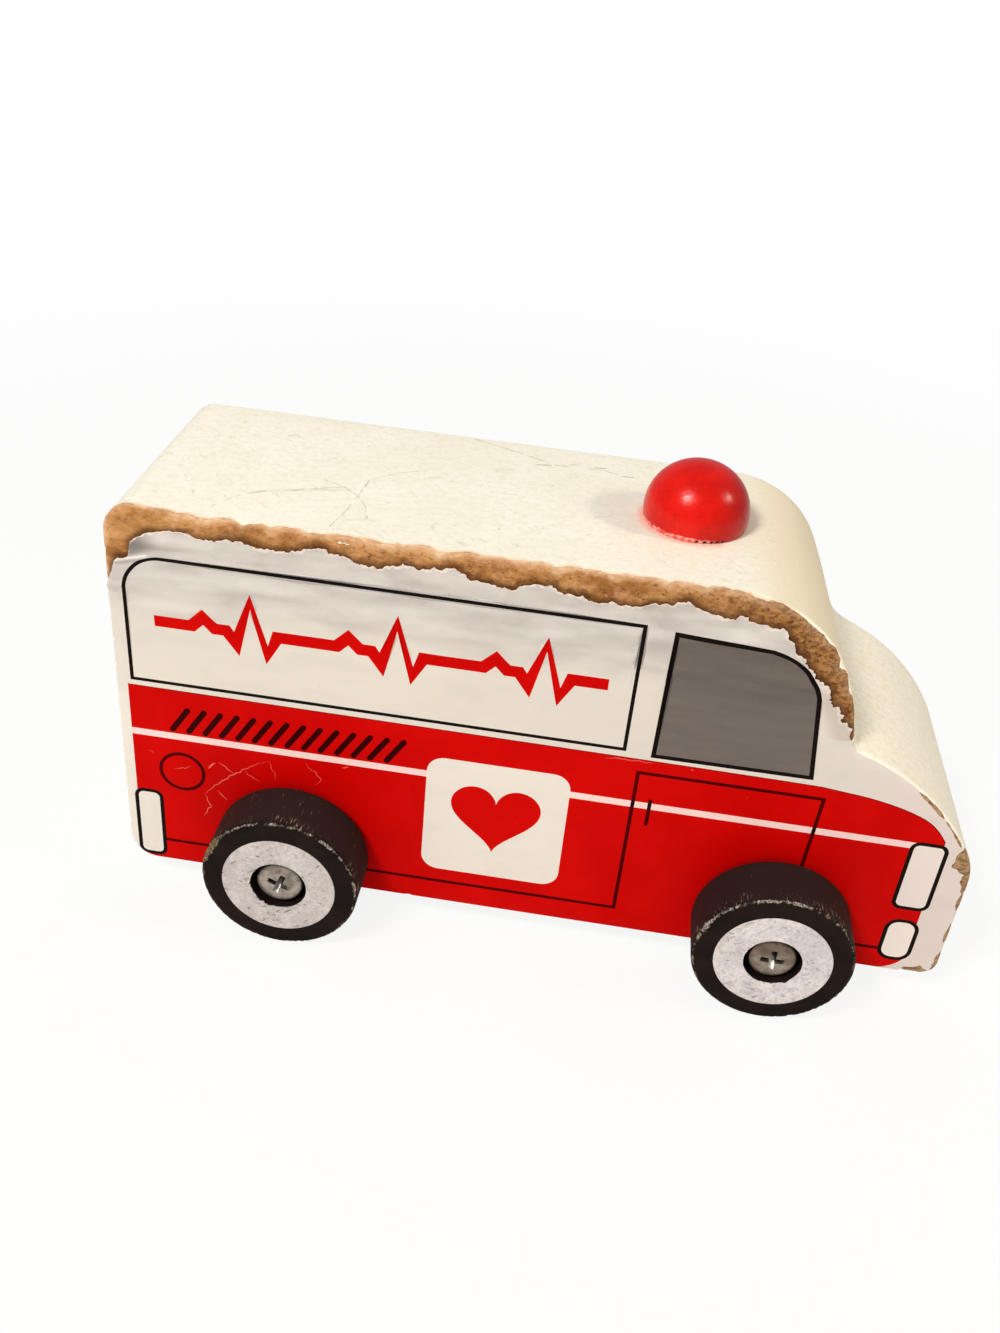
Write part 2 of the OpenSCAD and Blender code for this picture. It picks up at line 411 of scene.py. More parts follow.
def roofScratches(f):
    marks = []
    for turn, spacing in roofMarks["hairs"]:
        near = f.sum("ABSOLUTE", f.lines((0, 0, turn), spacing, spacing * 5, turn) - 0.5)
        hair = f.ease(near, roofMarks["hairWidth"], roofMarks["hairWidth"] * 0.3)
        marks.append(hair * f.ease(f.noise(spacing * 1.6, 2, seed=turn + 5), 0.54, 0.62) * 0.5)
    width = roofMarks["scratchWidth"] * (0.25 + f.noise(2.4, 2, seed=7) * 1.7)
    shake = f.noise(1.2, 2, seed=13) * 0.5 - 0.25
    broken = f.ease(f.noise(3, 2, seed=21), 0.36, 0.52)
    for line in roofMarks["scratches"]:
        marks.append(f.ease(f.lineGap(line) + shake, width, width * 0.4) * broken)
    return reduce(Wire.most, marks)


def creamPaint():
    f = Finish("creamPaint", IOR=1.46, Specular_IOR_Level=0.3)
    mottle = f.noise(1.0, 4, roughness=0.66, seed=2)
    strokes = f.noise(1.6, 3, stretch=(0.45, 1, 1), roughness=0.6)
    f.ground(f.ease(f.noise(16, 3), 0.35, 0.65), (246, 241, 224), (249, 245, 230))
    # painted shade on the windscreen, painted light at its foot and on the bonnet
    for start, end, warm in roofMarks["screenShadeAndLight"]:
        f.over(f.ease(f.part(0), start, end), warm)
    f.over(f.ease(mottle, 0.44, 0.62) * 0.5, (238, 230, 206))
    f.over(f.ease(strokes, 0.62, 0.74) * 0.36, (227, 218, 193))
    for turn, length in roofMarks["ticks"]:
        f.over(f.ease(f.lines((0, 0, turn), 0.3, length, turn), 0.7, 0.77) * 0.34, (210, 203, 180))
    f.over(f.specks(7, 0.45, 0.35) * 0.5, (200, 190, 164))
    onRoof = f.ease(f.part(2), blockHigh[2] - 1.5, blockHigh[2] - 0.5)
    scratch = roofScratches(f) * onRoof
    f.over(scratch * 0.55, (182, 174, 152))
    for line in roofMarks["dashes"]:
        mark = f.ease(f.lineGap(line), roofMarks["dashWidth"], roofMarks["dashWidth"] * 0.4)
        f.over(mark * onRoof * 0.6, (140, 118, 92))
    worn = f.noise(1.3, 3, seed=3)
    reach = roofMarks["smudgeAndShadowReach"]
    # grey left of the beacon, partly a smudge and partly painted shadow
    smudgeAndShadow = f.ease(f.lineGap(roofMarks["smudgeAndShadow"]) + worn * 4, reach + 2, reach - 1)
    f.over(smudgeAndShadow * onRoof * 0.16, (216, 208, 190))
    foot = beaconMiddle[:2] + ringPlaces(np.radians(np.linspace(*roofMarks["pinkRing"], 9)), beaconRadius)
    pinkRing = f.ease(f.lineGap(foot) + worn * 0.9, roofMarks["pinkRingReach"] + 0.5, 0.3)
    f.over(pinkRing * onRoof * 0.55, (246, 150, 134))
    depth = f.attribute("bare")
    soft = f.noise(2.2, 3, stretch=(0.6, 1, 1), seed=18)
    toScreen = f.ease(f.part(0), 32, 37)
    fringe = f.ease(depth + soft * 1.1 - mottle * 0.5, -0.5, 0.45) * (0.75 - toScreen * 0.5)
    f.over(fringe, (234, 198, 160))
    # painted highlight where the paint's broken edge runs onto the windscreen
    f.over(f.ease(depth, -0.7, -0.35) * toScreen * 0.8, (255, 250, 232))
    height = strokes * 0.035 + mottle * 0.03 + f.noise(0.35, 2) * 0.006 - scratch * 0.03
    return f.done(0.45 + strokes * 0.2, height)


def bareBoard():
    f = Finish("bareBoard", IOR=1.4, Specular_IOR_Level=0.15)
    depth = f.attribute("bare")  # millimetres in from the paint's edge
    close = f.attribute("tear")  # distance to the torn paper
    fibre = f.noise(0.7, 3, stretch=(0.42, 1, 1), roughness=0.6)
    speck = f.noise(0.5, 3, stretch=(0.7, 1, 1), roughness=0.65, seed=5)
    blotch = f.noise(3.4, 4, stretch=(0.42, 1, 1), roughness=0.62, seed=9)
    patch = f.noise(2.6, 3, seed=33)
    pale = f.mix(f.ease(fibre, 0.32, 0.68), (204, 160, 120), (236, 198, 160))
    golden = f.mix(f.ease(blotch, 0.36, 0.62), (206, 151, 94), (164, 109, 58))
    golden = f.mix(f.ease(patch, 0.5, 0.66) * 0.45, golden, (222, 165, 120))
    coarse = f.ease(f.part(0), -66, -40)
    golden = f.mix(f.ease(fibre, 0.5, 0.7) * (0.34 + coarse * 0.38), golden, (140, 90, 47))
    golden = f.mix(f.ease(speck, 0.55, 0.68) * (0.2 + coarse * 0.5), golden, (112, 63, 32))
    golden = f.mix(f.ease(speck, 0.41, 0.3) * 0.3, golden, (236, 196, 150))
    f.ground(f.ease(depth + blotch * 2.4, 1.0, 2.7), pale, golden)
    toScreen = f.ease(f.part(0), 16, 36) * 0.66
    f.over(toScreen, f.mix(f.ease(speck, 0.4, 0.6), (176, 124, 72), (82, 50, 24)))
    # painted shadow on the board just above the torn paper's edge
    paperEdgeShadow = f.ease(close + fibre * 0.7 - blotch * 1.5, 0.85, -0.35)
    f.over(paperEdgeShadow * 0.75, (100, 60, 32))
    grey = f.ease(f.part(2) + blotch * 2, 50, 46) * 0.75
    f.over(grey, f.mix(f.ease(fibre, 0.35, 0.65), (124, 100, 70), (196, 160, 122)))
    gap = f.lineGap(wear["fleck"], upright=True)
    fleck = f.ease(gap + speck * 0.9, wear["fleckReach"] + 0.5, wear["fleckReach"] + 0.36)
    f.over(fleck, (242, 232, 216))
    return f.done(0.92, fibre * 0.12 + speck * 0.08 + blotch * 0.2)


# The block

block = {
    "rearTopRadius": 4.5,
    "rearBottomRadius": 5.0,
    "frontBottomRadius": 3.0,
    "roofSetback": 47.3,  # from the front face back to where the roof curves down
    # The windscreen's upper radius, its turn in degrees and its lower radius; the block is sanded by hand
    "screenNear": (20.81, 64.16, 42.24),
    "screenFar": (18.41, 62.2, 120.0),
    "noseHeight": 26.4,
    "noseRadius": 12.1,
    "noseTurn": 30,
    "bonnetRadius": 39.1,
    "notchSoftness": (1.0, 2.4),  # at the near and the far side
    "rounding": 0.8,
    "wornAcross": 0.9,  # the worn edge, across the roof and down the side
    "wornDown": 1.7,
    "paintFrom": 2.1,  # where the near edge's rows start, in from the side
    "paintStep": 0.07,  # thickness of the paint at its broken edge
    "boardRoughness": 0.07,
    "cornerStart": 58,  # height from which the rear edge has closer points
    # Steps between the points of a side: all over, along the tear and by the nose
    "sideGrid": 4.0,
    "tearGrid": 0.42,
    "noseGrid": 0.5,
    "tearArea": (52, 4.5),  # where it starts, and how far from the tear its points reach
    "noseArea": (66, 36),  # where it starts and its height
    "sideDepth": 2.2,  # bare board on the side counts as at least this far in from the paint
}
coveredDepth = -3  # stands for a place well under the paint
roundedShare = 0.785  # length round a worn edge, as a share of the sum of its two radii
farGap = 9.0  # stands for a place well away from the torn paper


def circlesMeet(firstCentre, firstRadius, secondCentre, secondRadius):  # the upper meeting point
    way = secondCentre - firstCentre
    gap = np.linalg.norm(way)
    along = (gap**2 + firstRadius**2 - secondRadius**2) / (2 * gap)
    aside = math.sqrt(firstRadius**2 - along**2)
    way /= gap
    middle = firstCentre + way * along
    side = np.array((-way[1], way[0])) * aside
    return max(middle + side, middle - side, key=lambda p: p[1])


def angleOf(point, centre):
    return math.degrees(math.atan2(point[1] - centre[1], point[0] - centre[0]))


def sideOutline(screen, softness):  # from the lower rear corner over the roof and back underneath
    upperRadius, turn, lowerRadius = screen
    rearX, frontX = blockLow[0], blockHigh[0]
    bottomZ, roofZ = blockLow[2], blockHigh[2]
    low, rearTop, frontLow = block["rearBottomRadius"], block["rearTopRadius"], block["frontBottomRadius"]
    roofEnd = frontX - block["roofSetback"]
    foot = 90 - turn
    upperCentre = np.array((roofEnd, roofZ - upperRadius))
    lowerCentre = upperCentre + (upperRadius - lowerRadius) * wayAt(foot)
    noseRadius, noseZ, tilt = block["noseRadius"], block["noseHeight"], block["noseTurn"]
    bonnetRadius, cornerZ = block["bonnetRadius"], block["cornerStart"]
    noseCentre = np.array((frontX - noseRadius, noseZ))
    bonnetCentre = noseCentre + (noseRadius - bonnetRadius) * wayAt(tilt)
    notch = circlesMeet(lowerCentre, lowerRadius, bonnetCentre, bonnetRadius)
    toNotch = [
        arcPoints((rearX + low, bottomZ + low), low, 270, 180, 12),
        linePoints((rearX, bottomZ + low), (rearX, cornerZ), 96),
        linePoints((rearX, cornerZ), (rearX, roofZ - rearTop), 60),
        arcPoints((rearX + rearTop, roofZ - rearTop), rearTop, 180, 90, 34),
        linePoints((rearX + rearTop, roofZ), (roofEnd, roofZ), 440),
        arcPoints(upperCentre, upperRadius, 90, foot, 110),
        arcPoints(lowerCentre, lowerRadius, foot, angleOf(notch, lowerCentre), 60),
    ]
    path = np.concatenate(toNotch + [
        arcPoints(bonnetCentre, bonnetRadius, angleOf(notch, bonnetCentre), tilt, 110),
        arcPoints(noseCentre, noseRadius, tilt, 0, 36),
        linePoints((frontX, noseZ), (frontX, bottomZ + frontLow), 96),
        arcPoints((frontX - frontLow, bottomZ + frontLow), frontLow, 0, -90, 24),
        linePoints((frontX - frontLow, bottomZ), (rearX + low, bottomZ), 160),
    ])
    along = pathLength(path, closed=True)[:-1]
    corner = sum(len(part) for part in toNotch)
    near = np.abs(along - along[corner]) < softness * 4
    smooth = path.copy()
    for i in np.flatnonzero(near):
        weights = np.exp(-0.5 * ((along - along[i]) / softness) ** 2)
        smooth[i] = weights @ path / weights.sum()
    hold = ease(np.abs(along - along[corner]), softness * 2, softness * 4)[:, None]
    return smooth * (1 - hold) + path * hold, along, along[corner]


nearOutline, nearAlong, notchAlong = sideOutline(block["screenNear"], block["notchSoftness"][0])
farOutline = sideOutline(block["screenFar"], block["notchSoftness"][1])[0]
nearNormals = pathNormals(nearOutline, closed=True)
farNormals = pathNormals(farOutline, closed=True)


def alongOf(point):  # the place on the near outline that is nearest to a point
    return nearAlong[np.argmin(np.linalg.norm(nearOutline - np.array(point), axis=1))]


# Wear of the near side: the torn label and the chipped edge

wear = {
    # Corners of the torn paper, in x and z, from the rear edge to the foot of the windscreen
    "tear": [
        (-72.15, 61.8), (-71, 65), (-70.6, 66.3), (-69.9, 67), (-68.4, 67.4), (-68, 69), (-67.6, 70.3),
        (-67, 71), (-66, 71.5), (-64.9, 72), (-61.6, 72.7), (-58.9, 72.6), (-57.4, 72), (-54.9, 71.9),
        (-52.6, 72.6), (-50.4, 72.6), (-49.5, 72.1), (-44.4, 71.7), (-41.8, 72.2), (-39.3, 72.9),
        (-38.3, 73.6), (-37.6, 73.3), (-36.6, 72.5), (-35.1, 72.7), (-32.1, 71.5), (-28.5, 71.2),
        (-27.5, 71.9), (-23.8, 72.5), (-22.5, 71.9), (-20.4, 72.5), (-17.1, 72.8), (-16.3, 72.7),
        (-15.4, 71.7), (-11.5, 71.2), (-8.3, 70.8), (-7.1, 71.5), (-4.3, 72.4), (-1.8, 72), (-1.1, 71.4),
        (0.2, 71.6), (2.4, 71.3), (3.4, 70.8), (9.2, 70.7), (11.6, 71.1), (12.5, 71.7), (14.6, 72),
        (18.5, 73), (19.6, 72.1), (21.8, 71.2), (25.5, 71), (26, 71.6), (27.3, 71.5), (27.7, 70.9),
        (31.7, 70.2), (33.1, 70.6), (33.7, 69.1), (38.6, 63.6), (42, 60.7), (42.5, 58.3), (44.9, 56.8),
        (44.9, 55.3), (46, 55), (46.3, 53.9), (46.8, 53), (47, 52.2), (47.7, 51.6),
    ],
    "tearStep": 0.2,
    "tearRoughness": 0.12,
    "fleck": [(-35.1, 74.56), (-33.6, 74.42)],  # a scrap of paper left on the board
    "fleckReach": 0.1,
    # Chips along the near edge: from, to, width on the side
    "chips": [
        ((59.6, 44.4), (65.2, 39.3), 0.46),
        ((65.3, 39.4), (69.7, 34.1), 0.42),
        ((69.5, 33.8), (72.3, 28.6), 2.2),
        ((72, 29.8), (72.5, 24.4), 1.15),
        ((72.5, 25.2), (72.5, 20.4), 0.5),
        ((72.5, 18.6), (72.5, 12.6), 0.45),
        ((72.5, 11.6), (71.3, 5.9), 0.7),
        ((71.7, 6), (65.8, 5), 1.7),
        ((-72.5, 52.2), (-72.5, 50.9), 0.3),
        ((-72.5, 46.8), (-72.5, 46.1), 0.25),
        ((-72.5, 30.5), (-72.5, 29.2), 0.2),
        ((30, 5), (33, 5), 0.25),
        ((-22, 5), (-20, 5), 0.25),
    ],
    "flap": [(-68.6, 67.9), (-67.6, 70.1)],  # where the loose corner's painted shade is darkest
    "crease": [(-70.6, 66.5), (-65.5, 67.83)],  # the fold below it
    "flapReach": 5.0,
    "footShade": [(43, 58), (45.8, 52.8)],  # the paper is loose and in shade at the foot of the windscreen
    "footCrease": 51.8,  # height of the crease below it
    "labelInset": 0.35,
    "paintEdge": 1.45,  # from the first row of the near edge, in millimetres of its section
    "paintWander": 0.34,
    "screenShift": 0.5,  # how much further round the paint reaches along the windscreen
    "cornerReach": 1.2,  # the paint is gone further in at the upper rear corner
    "corner": (-68, 75.5),
}

# The loose fibres on the torn board; the thickness is a share of the length
fibres = {"Seed": 7, "Density": 1.9, "Shortest": 0.25, "Longest": 0.6, "Thickness": 0.035}
fibresFrom = 0.6  # they stand where the block's value "shown" is above this


def chipWidths():  # width of the chips along the near outline
    total = np.zeros(len(nearAlong))
    fine = roughField(nearOutline, 4.4, 31, 2)
    for start, end, width in wear["chips"]:
        a, b = alongOf(start), alongOf(end)
        share = np.clip((nearAlong - a) / (b - a), 0, 1)
        swell = np.abs(np.sin(share * np.pi)) ** 0.6 * ((share > 0) & (share < 1))
        total = np.maximum(total, width * swell * (1 + 0.17 * fine))
    return np.clip(total, 0, None)


def tornPath():  # the torn edge of the paper, with its small teeth
    path = resample(np.array(wear["tear"]), wear["tearStep"])
    places = pathLength(path)[:, None]
    share = (0.3 + 0.7 * ease(path[:, 0], -64, -58)) * (1 + 0.9 * ease(path[:, 0], 30, 40))
    teeth = share * (roughField(places, 2.8, 11, 3) + 0.3 * np.abs(ripple(places, 0.7, 17)) ** 2)
    ends = ease(places[:, 0], 0, 3) * ease(places[-1, 0] - places[:, 0], 0, 3)
    return path + pathNormals(path) * (teeth * wear["tearRoughness"] * ends)[:, None]


chipWide = chipWidths()
tearPath = tornPath()
rearTornAt = alongOf(wear["tear"][0])
torn = ease(nearAlong, rearTornAt - 1, rearTornAt + 2)
torn = torn * (1 - ease(nearAlong, notchAlong - 2.4, notchAlong - 0.2))


def labelOutline(worn):
    if not worn:
        return farOutline - farNormals * wear["labelInset"]
    inset = wear["labelInset"] + chipWide * (1 + 0.06 * roughField(nearOutline, 1.5, 91, 2))
    rim = nearOutline - nearNormals * inset[:, None]
    first = np.flatnonzero(nearAlong > notchAlong + 0.8)[0]
    last = np.flatnonzero(nearAlong > rearTornAt - 0.2)[0]
    return np.concatenate((tearPath, rim[first:], rim[:last]))


def nearSection(q, across, down):  # (inset, y) at q millimetres round the near edge
    flat = block["paintFrom"] - across
    curve = (across + down) * roundedShare
    turn = np.clip((q - flat) / curve, 0, 1) * np.pi / 2
    inset = down * (1 - np.cos(turn))
    y = np.where(q < flat, blockLow[1] + block["paintFrom"] - q, blockLow[1] + across * (1 - np.sin(turn)))
    return inset, y


def screenPoint(inset, y):  # the outline at a width, moved inwards
    share = ((y - blockLow[1]) / (blockHigh[1] - blockLow[1]))[:, None]
    middle = nearOutline * (1 - share) + farOutline * share
    normals = nearNormals * (1 - share) + farNormals * share
    return middle - normals * inset[:, None]


def blockRows():
    count = len(nearOutline)
    across = block["rounding"] + (block["wornAcross"] - block["rounding"]) * torn
    down = block["rounding"] + (block["wornDown"] - block["rounding"]) * torn
    whole = block["paintFrom"] - across + (across + down) * roundedShare
    places = nearAlong[:, None]
    wander = (ripple(places, 6, 41) * 0.8 + roughField(places, 2.6, 43, 2) * 0.2) * wear["paintWander"]
    x = nearOutline[:, 0]
    wander = wander + wear["screenShift"] * (ease(x, 22, 30) - ease(x, 43.5, 46.5))
    corner = hump(nearAlong - alongOf(wear["corner"]), 6) * wear["cornerReach"]
    tornEdge = np.clip(wear["paintEdge"] + wander - corner, 0.12, None)
    edge = np.where(torn > 0.02, whole * (1 - torn) + tornEdge * torn, whole)
    chipped = whole - np.clip(chipWide * 1.1 + 0.2, 0, 1.2) * (chipWide > 0.05)
    edge = np.minimum(np.minimum(edge, chipped), whole * 0.93)
    bare = ease(whole - edge, 0.1, 0.3)  # 1 where board shows
    rows, depths, slots = [], [], []

    def addRow(inset, y, depth, isBoard):
        inset = np.broadcast_to(inset, count)
        y = np.broadcast_to(y, count)
        flat = screenPoint(inset, y)
        rows.append(np.column_stack((flat[:, 0], y, flat[:, 1])))
        depths.append(np.broadcast_to(depth, count))
        slots.append(isBoard)

    radius = block["rounding"]
    for turn in np.radians((90, 75, 60, 45, 30, 15)):
        y = blockHigh[1] - radius * (1 - math.sin(turn))
        addRow(radius * (1 - math.cos(turn)), y, coveredDepth, False)
    for y in np.linspace(blockHigh[1] - radius, blockLow[1] + block["paintFrom"] + 1.5, 14):
        addRow(0, y, coveredDepth, False)
    for share in np.linspace(0, 1, 9):
        inset, y = nearSection(edge * share, across, down)
        addRow(inset, y, np.where(bare > 0.5, edge * (share - 1), coveredDepth), share == 1)
    for share in np.linspace(0, 1, 11):
        q = edge + (whole - edge) * share
        inset, y = nearSection(q, across, down)
        spot = np.column_stack((nearOutline, np.broadcast_to(y, count)))
        pits = (0.5 + 0.5 * roughField(spot * (0.6, 0.6, 1), 0.9, 51, 4)) * block["boardRoughness"]
        pits = (block["paintStep"] + pits * min(1, 4 * share * (1 - share) + 0.3)) * bare * (share < 1)
        addRow(inset + pits, y, np.where(bare > 0.5, q - edge, coveredDepth), share < 1)
    return rows, depths, slots, bare


def buildBlock():
    rows, depths, isBoard, bare = blockRows()
    count = len(nearOutline)
    points = np.concatenate(rows)
    depth = np.concatenate(depths)
    faces = ringFaces(len(rows), count)
    boardRow = np.repeat(isBoard[:-1], count)
    boardColumn = np.tile(np.minimum(bare, np.roll(bare, -1)) > 0.5, len(rows) - 1)
    slots = (boardRow & boardColumn).astype(int)
    allPoints, allFaces, allSlots = [points], [faces], [slots]
    tearGap = [np.full(len(points), farGap)]
    depthParts = [depth]
    shown = [np.where(np.tile(torn, len(rows)) > 0.3, depth * 4, 0)]  # high on torn board that is seen
    paper = labelOutline(True)
    first = len(points)
    (tearLow, tearReach), (noseRear, noseHigh) = block["tearArea"], block["noseArea"]
    for row, y in ((rows[-1], blockLow[1]), (rows[0], blockHigh[1])):
        loop = row[:, [0, 2]]
        low, high = loop.min(axis=0), loop.max(axis=0)
        spots = spotGrid(low, high, block["sideGrid"])
        if y < 0:
            fine = spotGrid((low[0], tearLow), high, block["tearGrid"])
            nose = spotGrid((noseRear, low[1]), (high[0], noseHigh), block["noseGrid"])
            spots = np.concatenate((spots, fine[pathDistance(fine, tearPath) < tearReach], nose))
        spots = spots[insideLoop(spots, loop)]
        ring = np.vstack((loop, loop[:1]))
        spots = spots[pathDistance(spots, ring[::3]) > 0.3]
        flat, triangles = flatTriangles([loop], spots)
        triangles = triangles[insideLoop(flat[triangles].mean(axis=1), loop)]
        gap = pathDistance(flat, tearPath)
        edgeGap = pathDistance(flat, ring[::3])
        height = np.full(len(flat), y)
        if y < 0:
            pits = (0.5 + 0.5 * roughField(flat * (0.5, 1), 0.9, 61, 4)) * block["boardRoughness"] * 1.6
            height = y + pits * ease(edgeGap, 0.1, 0.5)
        allPoints.append(np.column_stack((flat[:, 0], height, flat[:, 1])))
        allFaces.append((triangles + first).tolist())
        allSlots.append(np.ones(len(triangles), int))
        tearGap.append(gap)
        depthParts.append(block["sideDepth"] + edgeGap)
        shown.append((y < 0) * (gap < 8) * ~insideLoop(flat, paper))
        first += len(flat)
    points = np.concatenate(allPoints)
    values = {"bare": depthParts, "tear": tearGap, "shown": shown}
    values = {key: np.concatenate(parts) for key, parts in values.items()}
    values["shown"] *= points[:, 0] > blockLow[0] + fibres["Longest"]  # so that none stands out at the rear
    onEdge = pathDistance(points[:len(nearOutline) * len(rows)][:, [0, 2]], tearPath)
    values["tear"][:len(onEdge)] = np.where(points[:len(onEdge), 1] < 0, onEdge, farGap)
    allFaces, allSlots = sum(allFaces, []), np.concatenate(allSlots)
    return makePiece("fibreboard_block", points, allFaces, [cream, board], allSlots, values)


print("finishes of the block")
cream = creamPaint()
board = bareBoard()
print("block")
bodyBlock = buildBlock()
mount(bodyBlock, "block", "painted_fibreboard", "body_block")

# Finishes of the print


def labelTones(f):  # off-white, with painted shade and light where it has come loose below the tear
    cloud = f.noise(15, 3, stretch=(0.4, 1, 1))
    f.ground(f.ease(cloud, 0.35, 0.65), (231, 221, 207), (227, 217, 205))
    f.over(f.ease(f.part(2), 43, 40), (239, 229, 216))
    f.over(f.ease(f.part(0) + cloud * 10, 52, 66), (233, 217, 208))
    # painted shade: greyer over the upper, loose part of the paper
    upper = f.ease(f.part(2) + cloud * 8, 59, 69)
    f.over(upper, (213, 204, 196))
    # painted shade and light of the wrinkles: soft grey and pale patches
    soft = f.noise(4.5, 3, stretch=(0.45, 1, 1), seed=31)
    f.over(f.ease(soft, 0.48, 0.68) * (0.1 + upper * 0.42), (190, 180, 173))
    f.over(f.ease(soft, 0.44, 0.3) * upper * 0.5, (226, 219, 212))
    near = f.ease(f.part(1), 0, -1)
    gap, fold, foot = [f.lineGap(wear[key], upright=True) for key in ("flap", "crease", "footShade")]
    (left, low), (right, high) = wear["crease"]
    slope = (high - low) / (right - left)
    above = f.ease(f.part(2) - f.part(0) * slope, low - left * slope - 0.1, low - left * slope + 0.9)
    # painted shade on the loose corner, above its crease
    shade = f.ease(gap + cloud * 1.6, wear["flapReach"] + 0.8, 1.2) * above
    f.over(shade * near * 0.85, (132, 123, 120))
    f.over(f.ease(fold + cloud * 0.4, 0.62, 0.35) * near * 0.6, (242, 234, 228))
    above = f.ease(f.part(2), wear["footCrease"] - 0.1, wear["footCrease"] + 0.5)
    shade = f.ease(foot + cloud * 1.2, 3.6, 1) * above
    f.over(shade * near * 0.6, (202, 183, 167))


def lampTones(f):
    front = f.ease(f.part(0), -20, 20)
    f.ground(front, (237, 228, 216), (242, 227, 217))
    # lighter low on the front lamps: painted light against the shade at the lower front
    f.over(f.ease(f.part(2), 19, 17.5) * front, (250, 235, 224))


def paperRelief(f):  # the board's fibres show faintly through the print
    wrinkles = f.noise(4.5, 2, stretch=(0.4, 1, 1), seed=27) * f.ease(f.part(2), 56, 68)
    return f.noise(0.7, 3) * 0.02 + f.noise(4, 2, stretch=(0.5, 1, 1), seed=6) * 0.05 + wrinkles * 0.6


def printedPaper(name, layTones):
    f = Finish(name, IOR=1.42, Specular_IOR_Level=0.15)
    layTones(f)
    f.over(f.specks(5, 0.2, 0.22, seed=2) * 0.5, (178, 166, 152))
    return f.done(0.55, paperRelief(f))


def inkFinish(name, colour, deeper, fleck=None, roughness=0.4):
    f = Finish(name, IOR=1.45, Specular_IOR_Level=0.03)
    cloud = f.noise(11, 3, seed=4)
    f.ground(f.ease(cloud, 0.35, 0.65), colour, deeper)
    if fleck:
        f.over(f.specks(3.4, 0.16, 0.3, seed=3) * 0.75, fleck)
        f.over(f.specks(11, 0.42, 0.3, seed=8) * 0.6, fleck)
    return f.done(roughness + cloud * 0.1, paperRelief(f))


def windowInk():
    f = Finish("windowInk", IOR=1.45, Specular_IOR_Level=0.12)
    streaks = f.noise(1.5, 3, stretch=(0.12, 1, 1), seed=12)
    cloud = f.noise(9, 2)
    grit = f.noise(0.5, 3, roughness=0.7, seed=2)
    f.ground(f.ease(streaks, 0.35, 0.7), (113, 103, 96), (119, 109, 101))
    f.over(f.ease(cloud, 0.4, 0.65) * 0.5, (115, 107, 101))
    f.over(f.ease(grit, 0.5, 0.7) * 0.4, (105, 97, 91))
    f.over(f.ease(f.part(2), 52, 64) * 0.3, (92, 84, 76))
    f.over(f.specks(4.2, 0.17, 0.24, seed=5) * 0.8, (186, 178, 168))
    return f.done(0.42 + streaks * 0.1, paperRelief(f))


def rawPaper():
    f = Finish("rawPaper", IOR=1.35, Specular_IOR_Level=0.15)
    fibre = f.noise(0.3, 3)
    f.ground(fibre, (212, 194, 180), (241, 230, 219))
    return f.done(0.9, fibre * 0.06)


print("finishes of the print")
inks = {
    "paper": printedPaper("labelPaper", labelTones),
    "lamp": printedPaper("lampPaper", lampTones),
    "red": inkFinish("redInk", (213, 5, 2), (204, 3, 1), (236, 112, 98)),
    "stripe": inkFinish("stripeInk", (255, 222, 214), (252, 215, 207)),
    "darkRed": inkFinish("darkRedInk", (84, 0, 2), (72, 0, 2)),
    "redEdge": inkFinish("redEdgeInk", (138, 4, 4), (126, 2, 2)),
    "black": inkFinish("blackInk", (22, 14, 13), (28, 18, 16)),
    "grey": windowInk(),
    "graze": inkFinish("grazedInk", (228, 70, 58), (236, 112, 98), roughness=0.6),
    "raw": rawPaper(),
}
inkSlots = {key: i for i, key in enumerate(inks)}

# Shapes of the print, in x and z, seen from the side


def roundedBox(left, low, right, high, radius):
    parts = []
    for x, z, start in ((right, high, 90), (right, low, 0), (left, low, 270), (left, high, 180)):
        spans = ((x, left, right), (z, low, high))
        centre = [end - math.copysign(radius, end - (a + b) / 2) for end, a, b in spans]
        parts.append(arcPoints(centre, radius, start, start - 90, 7))
        parts.append(arcPoints(centre, radius, start - 90, start - 90, 1))
    return np.concatenate(parts)


def sideways(path, distance, closed):  # the path moved to its left, with mitred corners
    before = path - np.roll(path, 1, axis=0)
    after = np.roll(path, -1, axis=0) - path
    if not closed:
        before[0], after[-1] = after[0], before[-1]
    before /= np.linalg.norm(before, axis=1)[:, None]
    after /= np.linalg.norm(after, axis=1)[:, None]
    turned = np.column_stack((-(before + after)[:, 1], (before + after)[:, 0]))
    share = np.maximum(1 + (before * after).sum(axis=1), 0.4)
    return path + turned / share[:, None] * distance


def ringOf(loop, width):  # a closed line
    return [sideways(loop, width / 2, True), sideways(loop, -width / 2, True)]


def strokeOf(path, width):  # an open line
    path = np.array(path, float)
    return [np.concatenate((sideways(path, width / 2, False), sideways(path, -width / 2, False)[::-1]))]


def taperedStroke(path, width):  # a scratch, thin at its ends
    path = resample(np.array(path, float), 0.4)
    share = np.sin(np.linspace(0.06, 0.94, len(path)) * np.pi)[:, None] * width / 2
    normals = pathNormals(path)
    path = path + normals * 0.12 * ripple(path, 1.1, 77)[:, None]
    return [np.concatenate((path + normals * share, (path - normals * share)[::-1]))]


def cutCorners(path):  # an open path made smooth
    path = np.array(path, float)
    for _ in range(2):
        cuts = np.stack((path[:-1] * 0.75 + path[1:] * 0.25, path[:-1] * 0.25 + path[1:] * 0.75), axis=1)
        path = np.concatenate((path[:1], cuts.reshape(-1, 2), path[-1:]))
    return path


def circleLoop(centre, radius, steps=48):
    return arcPoints(centre, radius, 360, 0, steps)


